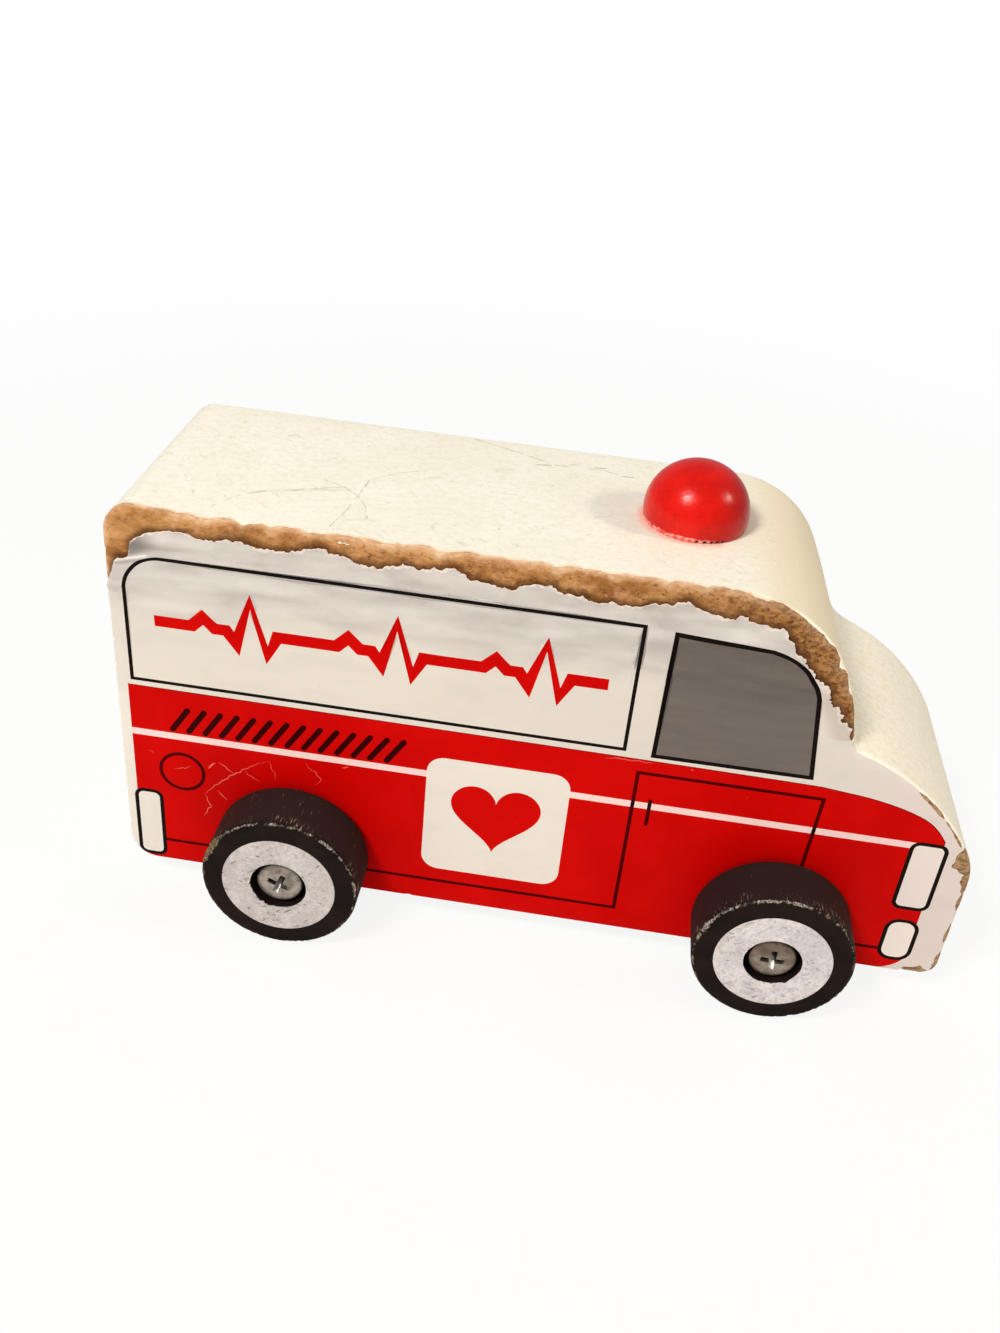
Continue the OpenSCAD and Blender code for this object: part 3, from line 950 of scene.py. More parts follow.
def heartLoop(centre, width, height):
    turn = np.linspace(0, 2 * np.pi, 72, endpoint=False)
    x = np.sin(turn) ** 3
    z = (13 * np.cos(turn) - 5 * np.cos(2 * turn) - 2 * np.cos(3 * turn) - np.cos(4 * turn) + 2.6) / 28.5
    return np.column_stack((centre[0] + x * width / 2, centre[1] + z * height))


def pulsePath(left, right, middle, height, beats):  # a plain heartbeat line
    shape = [(0, 0), (0.26, 0), (0.34, 0.2), (0.42, 0), (0.5, 0)]
    shape += [(0.57, -0.24), (0.67, 0.62), (0.78, -0.38), (0.85, 0)]
    step = (right - left) / (beats + 0.1)
    points = [(left + step * (beat + x), middle + z * height) for beat in range(beats) for x, z in shape]
    return points + [(right, middle)]


sidePrint = {
    "panel": (-69.45, 44.3, 12.45, 67.6),  # left, low, right, high
    "panelCorner": 6.2,  # its upper rear corner
    "panelLine": 0.62,
    "redRear": -70.3,
    "redTop": [
        (-70.3, 43), (43.1, 42.7), (47.6, 42.2), (52.8, 41.7),
        (58.3, 40.5), (62.7, 38.8), (64.9, 36.9), (66.4, 34.9),
    ],
    "redFoot": [(66.6, 8.8), (65.7, 7.3), (64.2, 6.1), (62.3, 5.3), (59.5, 4.4)],
    "stripe": (32.8, 34.1),
    "stripeEnd": 62.2,
    "sillHeight": 9.95,
    "sills": [(-66, 15.3), (42, 61.8)],
    "doorLine": 0.64,
    "door": [(15.3, 9.7), (15.3, 40.1), (45.5, 40.1), (45, 25.3), (44.7, 12)],
    "handle": [(18.1, 29.3), (18.1, 34.9)],
    "window": [(17.4, 67), (17.2, 43.8), (42.6, 44), (40.6, 59)],
    "windowCorner": [(39.9, 61), (38.8, 62.4), (37.8, 63.7), (36.3, 64.9), (34.4, 65.9), (32.1, 66.5)],
    "windowLine": 0.74,
    "cap": ((-61.9, 26), 3.8),
    "lamps": [
        (-70.5, 6.3, -66, 20.7, 1.35),
        (61.5, 19.9, 67.15, 34.0, 1.35),
        (61.8, 8.05, 66.95, 16.9, 2.1),
    ],
    "lampLine": 0.7,
    "redEdge": 0.16,
    "badge": (-19.4, 12.8, 4.8, 37.2, 3),
    "heart": ((-7.25, 25.2), 15.4, 13.8),
    "pulse": (-64.9, 8.3, 56.2, 9.6, 3),
    "pulseLine": 2.1,
    "grazes": [
        ([
            (-58, 21.9), (-56.5, 23.7), (-54.5, 25.5), (-52.8, 27.1),
            (-51.1, 28.3), (-49, 29.8), (-46.8, 31.2),
        ], 0.2),
        ([(-52.8, 27.1), (-54, 28.3), (-55.3, 29.3)], 0.16),
        ([(-50.9, 28.2), (-49.5, 27), (-48.1, 26.4)], 0.16),
        ([(-46.6, 31.1), (-45.9, 29.2), (-45.3, 27.2)], 0.18),
        ([(-40.3, 31.9), (-38.7, 30.2), (-37.3, 28.7), (-38.5, 27.3)], 0.18),
        ([(-58, 21.6), (-57.1, 19.3), (-58.5, 16.6)], 0.2),
        ([(-55.8, 22.9), (-54, 21.1)], 0.16),
        ([(-57.3, 27.6), (-56, 29)], 0.34),
        ([(-33.9, 31.9), (-32.7, 32.4)], 0.26),
        ([(9.6, 42.1), (11.5, 42.3), (17.5, 42.4)], 0.2),
        ([(-63.4, 26.4), (-61.5, 26.9), (-60.4, 27.4)], 0.14),
        ([(-67.6, 29.6), (-66.7, 29.2)], 0.2),
    ],
}


def printShapes(worn):  # (ink, loops), later ones on top
    p = sidePrint
    left, low, right, high = p["panel"]
    corner = p["panelCorner"]
    bend = arcPoints((left + corner, high - corner), corner, 180, 90, 16)
    panel = np.concatenate(([(left, low)], bend, [(left + corner, high), (right, high), (right, low)]))
    window = np.concatenate((p["window"][:3], cutCorners(p["window"][3:] + p["windowCorner"])))
    red = np.concatenate((cutCorners(p["redTop"]), cutCorners(p["redFoot"]), [(p["redRear"], 2)]))
    shapes = [
        ("red", [red]),
        ("redEdge", strokeOf(cutCorners(p["redTop"]), p["redEdge"])),
        ("stripe", [roundedBox(p["redRear"] - 0.01, p["stripe"][0], p["stripeEnd"], p["stripe"][1], 0.01)]),
    ]
    sills = [[(x, p["sillHeight"]) for x in ends] for ends in p["sills"]]
    shapes += [("darkRed", strokeOf(path, p["doorLine"])) for path in (*sills, p["door"], p["handle"])]
    shapes.append(("darkRed", ringOf(circleLoop(*p["cap"]), p["doorLine"])))
    if worn:
        shapes += [("graze", taperedStroke(path, width)) for path, width in p["grazes"]]
    shapes += [("paper", [roundedBox(*p["badge"])]), ("red", [heartLoop(*p["heart"])])]
    for lamp in p["lamps"]:
        box = roundedBox(*lamp)
        shapes += [("lamp", [box]), ("black", ringOf(box, p["lampLine"]))]
    shapes.append(("black", ringOf(panel, p["panelLine"])))
    shapes.append(("red", strokeOf(pulsePath(*p["pulse"]), p["pulseLine"])))
    return shapes + [("grey", [window]), ("black", ringOf(window, p["windowLine"]))]


# The two labels

label = {
    "thickness": 0.2,
    "grid": 1.3,
    "boltHole": 2.4,  # radius, around a screw's shank
    "rawWidth": 0.32,  # of the bare paper along the tear
    "rawStep": 0.11,  # how much lower the paper is at its torn edge
    "foldLift": 0.75,  # of the corner that has come loose
    "waveHeight": 0.55,
    # Ridges of the loose paper: height, width, strength and how far they follow its slow bend
    "ridges": [(66.2, 1.3, 1, 1), (61.4, 1.5, 0.8, 0.7)],
    "creaseLift": 0.45,
    "crackLift": 0.22,
    # Short creases below the torn edge, in x and z
    "cracks": [
        [(-55.6, 71.4), (-54.3, 69.7)],
        [(-9.3, 70.2), (-9.8, 68.4)],
        [(13.8, 69.6), (14.6, 68.7)],
        [(30.2, 69.9), (30.9, 68)],
    ],
    # Finer fields of points: from, to, step; the first one only near the tear
    "tearGrid": ((-73, 50), (50, 75), 0.5),
    "tearReach": 2.5,
    "fineGrids": [((-73, 54), (48, 74), 0.8), ((-72, 64), (-58, 73), 0.5)],
}


def labelLift(points, worn):  # how far the paper stands off the board
    if not worn:
        return 0.03 * np.clip(ripple(points * (0.5, 1), 9, 83), 0, None) * ease(points[:, 1], 44, 50)
    x, z = points.T
    fade = ease(z, 53, 64)
    slow = ripple(points * (0.14, 1), 5.4, 81)
    quick = ripple(points * (0.22, 1), 2.9, 87)
    bend = 0.014 * x + 0.6 * ripple(points[:, :1], 30, 85)
    ridges = 0
    for at, width, strong, share in label["ridges"]:
        ridges = ridges + strong * hump(z - at + bend * share, width)
    ridges = ridges * (0.7 + 0.3 * ripple(points[:, :1], 22, 84))
    waves = label["waveHeight"] * (0.5 * (slow + 1) * 0.6 + 0.5 * ridges + 0.19 * quick)
    gap = pathDistance(points, tearPath)
    edge = np.exp(-gap / 1.1) * (0.1 + 0.12 * np.clip(ripple(points, 5, 86), -0.6, None))
    fold = label["foldLift"] * ease(z - 0.1 * (x + 70), 67, 72.8) * (1 - ease(x, -68.5, -60.5))
    crease = label["creaseLift"] * hump(z - 66.7 - 0.26 * (x + 70), 0.45) * (1 - ease(x, -66, -62.5))
    gaps = [pathDistance(points, np.array(line)) for line in label["cracks"]]
    slit = sum(label["crackLift"] * np.exp(-gap / 0.35) for gap in gaps)
    return np.clip(waves * fade + edge * ease(z, 50, 58) + fold + crease + slit, 0, 1.5)


def thinSheet(name, side, flat, triangles, slots, under, over):  # a closed sheet on a field of triangles
    used, compact = np.unique(triangles, return_inverse=True)
    triangles = compact.reshape(-1, 3)
    count = len(used)
    faces = [np.column_stack((flat[used, 0], side * y[used], flat[used, 1])) for y in (over, under)]
    edges = np.concatenate([triangles[:, [i, (i + 1) % 3]] for i in range(3)])
    owners = np.tile(np.arange(len(triangles)), 3)
    keys = np.sort(edges, axis=1) @ (count, 1)
    _, where, uses = np.unique(keys, return_index=True, return_counts=True)
    rim = where[uses == 1]
    a, b = edges[rim].T
    walls = np.column_stack((b, a, a + count, b + count))
    allFaces = triangles.tolist() + (triangles[:, ::-1] + count).tolist() + walls.tolist()
    allSlots = np.concatenate((slots, np.zeros(len(triangles), int), slots[owners[rim]]))
    return makePiece(name, np.concatenate(faces), allFaces, list(inks.values()), allSlots)


def buildLabel(name, side, worn):
    outline, edge = labelOutline(worn), nearOutline if worn else farOutline
    centres = [nodeMiddle("washer_" + place)[[0, 2]] for place in wheelPlaces[:2]]
    holes = [circleLoop(centre, label["boltHole"], 40) for centre in centres]
    shapes = printShapes(worn)
    spots = [spotGrid(outline.min(axis=0), outline.max(axis=0), label["grid"])]
    if worn:
        widths = label["rawWidth"] * np.clip(0.45 + 0.8 * roughField(tearPath, 3.5, 95), 0.12, 1.6)
        widths = widths * (0.2 + 0.8 * ease(tearPath[:, 0], -67.6, -66))
        inner = tearPath - pathNormals(tearPath) * widths[:, None]
        raw = np.concatenate((tearPath + pathNormals(tearPath) * 0.01, inner[::-1]))
        shapes.append(("raw", [raw]))
        close = spotGrid(*label["tearGrid"])
        spots.append(close[pathDistance(close, tearPath) < label["tearReach"]])
        spots += [spotGrid(*area) for area in label["fineGrids"]]
    spots = np.concatenate(spots)
    loops = [outline] + holes + [loop for _, parts in shapes for loop in parts]
    flat, triangles = flatTriangles(loops, spots[insideLoop(spots, outline)])
    middle = flat[triangles].mean(axis=1)
    kept = insideLoop(middle, outline)
    for hole in holes:
        kept &= ~insideLoop(middle, hole)
    triangles, middle = triangles[kept], middle[kept]
    slots = np.zeros(len(triangles), int)
    for ink, parts in shapes:
        found = sum(insideLoop(middle, loop).astype(int) for loop in parts) % 2 == 1
        onStripe = found & (slots == inkSlots["stripe"]) & (ink == "darkRed")
        slots[found] = inkSlots[ink]
        slots[onStripe] = inkSlots["black"]
    rimGap = pathDistance(flat, np.vstack((edge, edge[:1])))
    turn = np.arccos(np.clip(1 - rimGap / block["rounding"], 0, 1))
    drop = block["rounding"] * (1 - np.sin(turn))
    lift = labelLift(flat, worn)
    under = labelFace - label["thickness"] - drop + lift
    over = labelFace - drop + lift
    if worn:
        over = over - label["rawStep"] * (pathDistance(flat, tearPath) < 0.02)
    return thinSheet(name, side, flat, triangles, slots, under, over)


print("labels")
for side, name in ((-1, "label_right"), (1, "label_left")):
    mount(buildLabel("printed_" + name, side, side < 0), "block", "printed_paper", name)

# The louvres of the print, one bar repeated by Geometry Nodes

louvres = {
    "Count": 14,
    "First": -63.1,
    "Pitch": 2.831,
    "Low": 34.95,
    "Height": 4.25,
    "Lean": 2.75,
    "Width": 1.0,
}
inkThickness = 0.06


class Builder(Tree):  # a Geometry Nodes tree with named inputs
    def __init__(self, name, sizes, takesMesh=False):
        tree = bpy.data.node_groups.new(name, "GeometryNodeTree")
        super().__init__(tree)
        self.keys = {}
        if takesMesh:
            tree.interface.new_socket("Mesh", in_out="INPUT", socket_type="NodeSocketGeometry")
        for key, value in sizes.items():
            kind = "NodeSocketInt" if isinstance(value, int) else "NodeSocketFloat"
            self.keys[key] = tree.interface.new_socket(key, in_out="INPUT", socket_type=kind).identifier
        tree.interface.new_socket("Mesh", in_out="OUTPUT", socket_type="NodeSocketGeometry")
        self.start = tree.nodes.new("NodeGroupInput")
        self.end = tree.nodes.new("NodeGroupOutput")

    def value(self, name):
        return Wire(self, self.start.outputs[name])

    def join(self, *values):  # x, y and z
        return self.node("ShaderNodeCombineXYZ", dict(enumerate(values)))

    def close(self, instances, finish):
        whole = self.node("GeometryNodeRealizeInstances", {0: instances})
        self.put(self.end.inputs[0], self.node("GeometryNodeSetMaterial", {0: whole, 2: finish}))

    def make(self, name, sizes, mesh=None):
        piece = addObject(name, mesh or bpy.data.meshes.new(name))
        modifier = piece.modifiers.new(name, "NODES")
        modifier.node_group = self.nodeTree
        for key, value in sizes.items():
            modifier[self.keys[key]] = value
        return settle(piece)


def buildLouvres():
    b = Builder("louvres", {**louvres, "Side": 0.0})
    where = b.join(b.value("First"), b.value("Side"), b.value("Low"))
    row = {"Count": b.value("Count"), "Start Location": where, "Offset": b.join(b.value("Pitch"))}
    disc = {"Vertices": 14, "Radius": b.value("Width") * 0.5, "Depth": inkThickness * mm}
    disc = b.node("GeometryNodeMeshCylinder", disc)
    ends = []
    for share in (0.0, 1.0):
        spot = b.join(b.value("Lean") * share, 0.0, b.value("Height") * share)
        ends.append(b.node("GeometryNodeTransform", {0: disc, 1: spot, 2: (math.pi / 2, 0, 0)}))
    bar = b.node("GeometryNodeConvexHull", {0: b.node("GeometryNodeJoinGeometry", {0: ends})})
    bars = b.node("GeometryNodeInstanceOnPoints", {0: b.node("GeometryNodeMeshLine", row), 2: bar})
    b.close(bars, inkFinish("louvreInk", (60, 0, 2), (50, 0, 2)))
    sizes = {key: value if key == "Count" else value * mm for key, value in louvres.items()}
    for side, name in ((-1, "louvres_right"), (1, "louvres_left")):
        piece = b.make(name, {**sizes, "Side": side * labelFace * mm})
        mount(piece, "block", "printed_paper")


print("louvres")
buildLouvres()

# The wheels, turned from wood and painted

wheel = {
    "turns": 320,
    "edge": 0.9,  # rounding of the rims
    "bore": 2.18,
    "recess": 4.85,
    "recessDepth": 3.6,
    "closeRows": 4.2,  # width of the face beside the recess that has closer rows of points
    "rimInset": 0.28,  # from the rim's corner in to its rounded edge, as a share of the rounding
    "sinkInset": 1.4,  # from there in to the ring that the chips sink towards
    "dent": 0.3,  # depth of the deepest chips
    "rimRubAndSheenReach": 0.4,
    "rimRubAndSheen": 0.6,  # how strongly the rest of the outer rim is pale, 0 to 1: rubbed paint, and a painted highlight along its rounded edge
    "tickReach": 3.4,  # how far the short scratches run back over the tread
    # Chips along the outer rim: from and to in degrees about the axle, how strong, and their reach
    "chips": {
        "rear_right": [
            (138, 170, 1.08, 0.85), (104, 130, 0.78, 0.38), (60, 104, 0.86, 0.4), (42, 64, 0.72, 0.38),
            (14, 40, 0.5, 0.4), (-40, -10, 0.36, 0.4),
        ],
        "front_right": [
            (148, 174, 0.92, 0.66), (122, 148, 0.72, 0.4), (58, 124, 0.9, 0.4), (30, 62, 0.66, 0.4),
            (178, 216, 0.56, 0.4), (-34, 10, 0.46, 0.4),
        ],
        "rear_left": [(24, 64, 0.6, 0.42), (98, 136, 0.7, 0.42), (200, 222, 0.5, 0.42)],
        "front_left": [(66, 104, 0.66, 0.42), (146, 172, 0.7, 0.42), (-40, -16, 0.5, 0.42)],
    },
}


def aboutAxle(points, place):  # turned points, put round a wheel's axle
    x, y, z = nodeMiddle("wheel_" + place)
    return np.column_stack((x + points[:, 0], math.copysign(1, y) * points[:, 2], z + points[:, 1]))


def wheelPaint():
    f = Finish("wheelPaint", IOR=1.45, Specular_IOR_Level=0.06)
    grit = f.noise(0.5, 3, roughness=0.65)
    fine = f.noise(0.24, 2, seed=3)
    cloud = f.noise(6, 3)
    f.ground(f.ease(cloud, 0.35, 0.65), (24, 17, 14), (34, 23, 19))
    onTread = f.ease(f.sum("ABSOLUTE", f.part(1)), 33.0, 32.5) * f.ease(f.attribute("outside"), 0.4, 0.6)
    f.over(onTread * 0.8, (45, 33, 31))
    f.over(f.ease(grit, 0.56, 0.7) * 0.4, (54, 41, 37))
    f.over(f.specks(2.1, 0.15, 0.3, seed=4) * 0.45, (140, 124, 112))
    f.over(f.specks(4.6, 0.26, 0.3, seed=9) * 0.45, (96, 78, 72))
    sparse = f.ease(f.lines((0, 0, 90), 0.3, 2.2, 8), 0.68, 0.76) * f.ease(cloud, 0.45, 0.6) * onTread * 0.4
    ticks = f.ease(f.lines((0, 0, 90), 0.22, 1.6, 3), 0.6, 0.7) * f.ease(f.attribute("tread"), 0.05, 0.7)
    f.over((ticks * 0.75).most(sparse), (154, 138, 124))
    # the pale rim: chips and rubbing, and a painted highlight along the rim's rounded edge
    chip = f.attribute("chip")
    worn = f.ease(chip + grit * 1.1, 0.92, 1.3)
    wood = f.mix(f.ease(fine, 0.42, 0.6), (92, 80, 70), (184, 171, 160))
    olive = f.ease(chip + cloud * 0.4, 0.72, 0.92) * f.ease(f.sum("ABSOLUTE", f.part(0) + 1), 47, 49)
    wood = f.mix(olive * 0.92, wood, f.mix(f.ease(grit, 0.4, 0.6), (82, 66, 38), (126, 104, 66)))
    height = cloud * 0.03 + grit * 0.03 - worn * 0.05 - ticks * 0.02
    f.over(worn, wood)
    return f.done(0.5 + grit * 0.14 + worn * 0.3, height)


def buildWheel(place):
    radius, inner, outer = discSizes("wheel_" + place)
    edge, bore, recess, seat = wheel["edge"], wheel["bore"], wheel["recess"], outer - wheel["recessDepth"]
    faceEnd = recess + wheel["closeRows"]
    section = np.concatenate((
        linePoints((bore, seat), (bore, inner), 6),
        linePoints((bore, inner), (radius - edge, inner), 8),
        arcPoints((radius - edge, inner + edge), edge, -90, 0, 7),
        linePoints((radius, inner + edge), (radius, outer - edge), 22),
        arcPoints((radius - edge, outer - edge), edge, 0, 90, 12),
        linePoints((radius - edge, outer), (faceEnd, outer), 9),
        linePoints((faceEnd, outer), (recess, outer), 4),
        linePoints((recess, outer), (recess, seat), 4),
        linePoints((recess, seat), (bore, seat), 3),
    ))
    points, angles = lathe(section, wheel["turns"])
    seed = 200 + wheelPlaces.index(place) * 10
    degrees = np.degrees(angles)
    places = ringPlaces(angles, radius)
    rimInset, sinkInset = wheel["rimInset"] * edge, wheel["sinkInset"] * edge
    rim = np.linalg.norm(section - (radius - rimInset, outer - rimInset), axis=1)
    strength = wheel["rimRubAndSheen"] * (0.85 + 0.3 * roughField(places, 5, seed + 6, 3))
    strength = np.outer(hump(rim, wheel["rimRubAndSheenReach"]), strength)
    for start, end, strong, reach in wheel["chips"][place]:
        share = np.clip(np.mod(degrees - start, 360) / (end - start), 0, 1)
        chip = np.outer(hump(rim, reach), strong * np.sin(share * np.pi) ** 0.4)
        strength = np.maximum(strength, chip)
    outside = section[:, 0] > radius - 0.2 * edge
    onTread = outside * (1 - ease(outer - section[:, 1], 0.6, wheel["tickReach"]))
    ticks = np.outer(onTread, np.clip(0.5 + 0.6 * ripple(places, 7, seed + 8), 0, 1)).ravel()
    mark = strength.ravel() * (0.86 + 0.22 * roughField(points, 1.7, seed))
    hollow = np.clip(roughField(points, 1.1, seed + 3) * 0.7 + 0.3, 0, 1) * mark * wheel["dent"]
    inwards = points.copy()
    away = np.maximum(np.linalg.norm(points[:, :2], axis=1), 0.1)
    inwards[:, :2] *= ((radius - sinkInset) / away)[:, None]
    inwards[:, 2] = outer - sinkInset
    inwards -= points
    inwards /= np.linalg.norm(inwards, axis=1)[:, None]
    points = aboutAxle(points + inwards * hollow[:, None], place)
    values = {"chip": mark, "tread": ticks, "outside": np.repeat(outside, wheel["turns"])}
    faces = ringFaces(len(section), wheel["turns"], True)
    return makePiece("turned_wheel_" + place, points, faces, [wheelFinish], values=values)


# The paper rings on the wheels' faces

hubRing = {
    "turns": 260,
    "softness": 0.08,  # of the outer edge
    "strokes": [(52, 1.7), (-35, 2.0), (8, 1.5)],  # the short scratches' turn in degrees, then their length
    # Where the inner edge is ragged: middle and half width in degrees, then depth
    "ragged": {
        "rear_right": (222, 52, 0.3),
        "front_right": (280, 46, 0.26),
        "rear_left": (300, 40, 0.3),
        "front_left": (120, 36, 0.3),
    },
}


def hubPaper():
    f = Finish("hubPaper", IOR=1.4, Specular_IOR_Level=0.2)
    cloud = f.noise(3.2, 3)
    grain = f.noise(0.6, 3, roughness=0.68)
    rear = f.mix(f.ease(cloud, 0.35, 0.65), (213, 204, 200), (194, 185, 181))
    front = f.mix(f.ease(cloud, 0.35, 0.65), (236, 228, 226), (216, 207, 205))
    f.ground(f.ease(f.part(0), -5, 5), rear, front)
    blotch = f.noise(1.5, 4, roughness=0.66, seed=17)
    f.over(f.ease(blotch, 0.5, 0.66) * 0.45, (172, 162, 157))
    f.over(f.ease(grain, 0.5, 0.68) * 0.5, (178, 168, 164))
    f.over(f.ease(grain, 0.42, 0.3) * 0.55, (246, 240, 236))
    strokes = [f.lines((0, turn, 0), 0.36, length, turn) for turn, length in hubRing["strokes"]]
    marks = reduce(Wire.most, [f.ease(stroke, 0.67, 0.74) for stroke in strokes])
    strong = 1 - f.ease(f.part(0), -5, 5) * 0.5
    f.over(marks * strong * f.ease(cloud, 0.3, 0.6), (106, 96, 90))
    f.over(f.specks(2.2, 0.26, 0.32, seed=2) * 0.85, (74, 64, 58))
    return f.done(0.62, grain * 0.02 - marks * 0.02)


def buildHubRing(place):
    outer, base, top = discSizes("hub_label_" + place)
    inner, soft = wheel["recess"], hubRing["softness"]
    section = np.concatenate((
        linePoints((inner, base), (inner, top), 2),
        linePoints((inner, top), (outer - soft, top), 14),
        arcPoints((outer - soft, top - soft), soft, 90, 0, 3),
        linePoints((outer, top - soft), (outer, base), 2),
        linePoints((outer, base), (inner, base), 3),
    ))
    points, angles = lathe(section, hubRing["turns"])
    middle, reach, depth = hubRing["ragged"][place]
    field = roughField(ringPlaces(angles, inner), 1.7, 300 + middle, 3)
    ragged = depth * nearTurn(angles, middle, reach, 0.5) * np.clip(0.5 + 0.7 * field, 0, 1.3)
    ragged = ragged + 0.03 * np.clip(field, 0, 1)
    radii = np.repeat(section[:, 0], len(angles))
    share = np.clip((outer - radii) / (outer - inner), 0, 1)
    points[:, :2] *= (1 + np.tile(ragged, len(section)) * share / radii)[:, None]
    faces = ringFaces(len(section), len(angles), True)
    return makePiece("paper_ring_" + place, aboutAxle(points, place), faces, [hubFinish])


# Screws, washers and the dowel: copies of the model's own pieces with softened edges

steel = {
    # How far each cross is turned, in degrees
    "screwTurns": {"rear_right": 22, "front_right": 0, "rear_left": 64, "front_left": 35},
    "softness": 0.07,
    "headTop": 33.3,
    "crossReach": 2.4,
}
# Degrees between two faces: up to which their edge is dropped, and from which it is softened and sharp
softTurns = (0.4, 38, 32)


def softCopy(name, node, finish, softness, turn=0.0):
    flatTurn, bevelTurn, hardTurn = [math.radians(angle) for angle in softTurns]
    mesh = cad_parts[node].data.copy()
    mesh.materials.clear()
    mesh.materials.append(finish)
    work = bmesh.new()
    work.from_mesh(mesh)
    bmesh.ops.remove_doubles(work, verts=work.verts, dist=roundGap * mm)
    bmesh.ops.dissolve_limit(work, angle_limit=flatTurn, verts=work.verts, edges=work.edges)
    turned = Matrix.Rotation(math.radians(turn), 3, "Y")
    bmesh.ops.rotate(work, cent=Vector(nodeMiddle(node) * mm), matrix=turned, verts=work.verts)
    for face in work.faces:
        face.material_index = 0
    work.to_mesh(mesh)
    work.free()
    piece = addObject(name, mesh)
    bevel = piece.modifiers.new("soft", "BEVEL")
    bevel.width = softness * mm
    bevel.segments = 2
    bevel.limit_method = "ANGLE"
    bevel.angle_limit = bevelTurn
    settle(piece)
    piece.data.shade_smooth()
    piece.data.set_sharp_from_angle(angle=hardTurn)
    return piece


def screwSteel():
    f = Finish("screwSteel", Metallic=1.0)
    x = f.part(0)
    middle = nodeMiddle("axle_screw_front_left")
    along, across = f.sum("ABSOLUTE", x) - middle[0], f.part(2) - middle[2]
    away = f.sum("SQRT", along * along + across * across)
    height = f.sum("ABSOLUTE", f.part(1))
    inCross = f.ease(away, steel["crossReach"] + 0.2, steel["crossReach"])
    hollow = f.ease(height, steel["headTop"] - 0.12, steel["headTop"] - 0.5) * inCross
    cloud = f.noise(1.7, 3, roughness=0.6)
    fine = f.noise(0.4, 3)
    f.ground(f.ease(cloud, 0.38, 0.62), (180, 171, 162), (138, 128, 119))
    f.over(f.ease(fine, 0.55, 0.7) * 0.45, (100, 88, 74))
    f.over(f.ease(away, 3.3, 4.1) * 0.4, (96, 82, 68))
    front = f.ease(x, -5, 5)
    f.over(front * 0.35, (128, 112, 92))
    f.over((front * 0.37 + 0.18) * f.ease(across, -0.6, 2.4), (84, 62, 44))
    # painted shade in the cross recess, with painted glints on its lower arms, stronger on the front screws
    recessShadeAndGlint = f.mix((front * 0.5 + 0.5) * f.ease(across, -0.35, -0.8), (40, 31, 24), (236, 232, 222))
    f.over(hollow * 0.85, recessShadeAndGlint)
    return f.done(0.34 + cloud * 0.26, fine * 0.02)


def washerSteel():
    f = Finish("washerSteel", Metallic=1.0)
    cloud = f.noise(2, 3)
    f.ground(cloud, (150, 148, 142), (188, 186, 180))
    return f.done(0.36 + cloud * 0.2, f.noise(0.3, 2) * 0.01)


def dowelWood():
    f = Finish("dowelWood", IOR=1.4)
    grain = f.noise(0.5, 3, stretch=(1, 1, 0.08))
    f.ground(grain, (190, 150, 104), (222, 186, 140))
    return f.done(0.75, grain * 0.03)


# The beacon

beacon = {
    "waist": 2.0,  # height of its widest place above the roof
    "dowelHole": 3.05,
    "holeDepth": 5.0,
    "turns": 220,
    "nicks": [(-88, 2.2), (-79, 3), (-71, 1.8), (-65, 2.6), (-58, 1.6)],  # dark dents at the foot, with painted shade: middle and half width in degrees
    "nickHeight": 0.55,
    "nickDepth": 0.03,  # as a share of the radius
    "footRounding": (0.12, 0.02, 0.07),  # in at the foot, in at its upper end, and its height
    "footWear": (-116, 74),  # where its foot has rubbed pale: middle and half width in degrees
}


def beaconPaint():
    f = Finish("beaconPaint", IOR=1.5, Specular_IOR_Level=0.27)
    cloud = f.noise(5, 3)
    fine = f.noise(0.8, 3, roughness=0.6)
    mottle = f.noise(2.1, 4, roughness=0.65, seed=12)
    f.ground(f.ease(cloud, 0.35, 0.65), (228, 18, 0), (208, 8, 0))
    f.over(f.ease(mottle, 0.48, 0.64) * 0.34, (180, 6, 0))
    f.over(f.ease(fine, 0.56, 0.74) * 0.3, (176, 6, 0))
    f.over(f.specks(3.2, 0.24, 0.35, seed=6) * 0.6, (122, 8, 6))
    f.over(f.specks(4.4, 0.2, 0.25, seed=1) * 0.5, (240, 110, 92))
    rub = f.ease(f.attribute("rub") * 1.2 + mottle * 2.2, 1.55, 2.0)
    f.over(rub * 0.85, f.mix(f.ease(fine, 0.4, 0.6), (240, 96, 84), (250, 200, 190)))
    # painted shade: darker on the right side and the far side of the dome
    turned = f.ease(f.part(0), beaconMiddle[0], beaconMiddle[0] + 8).most(f.ease(f.part(1), 2.5, 8) * 0.7)
    f.over(turned * 0.62, (146, 2, 0))
    # painted shade in the nicks, where the foot stands off the roof
    f.over(f.ease(f.attribute("nick") + fine * 0.5, 0.7, 0.9), (60, 18, 12))
    return f.done(0.17 + fine * 0.15, fine * 0.035 + cloud * 0.06)


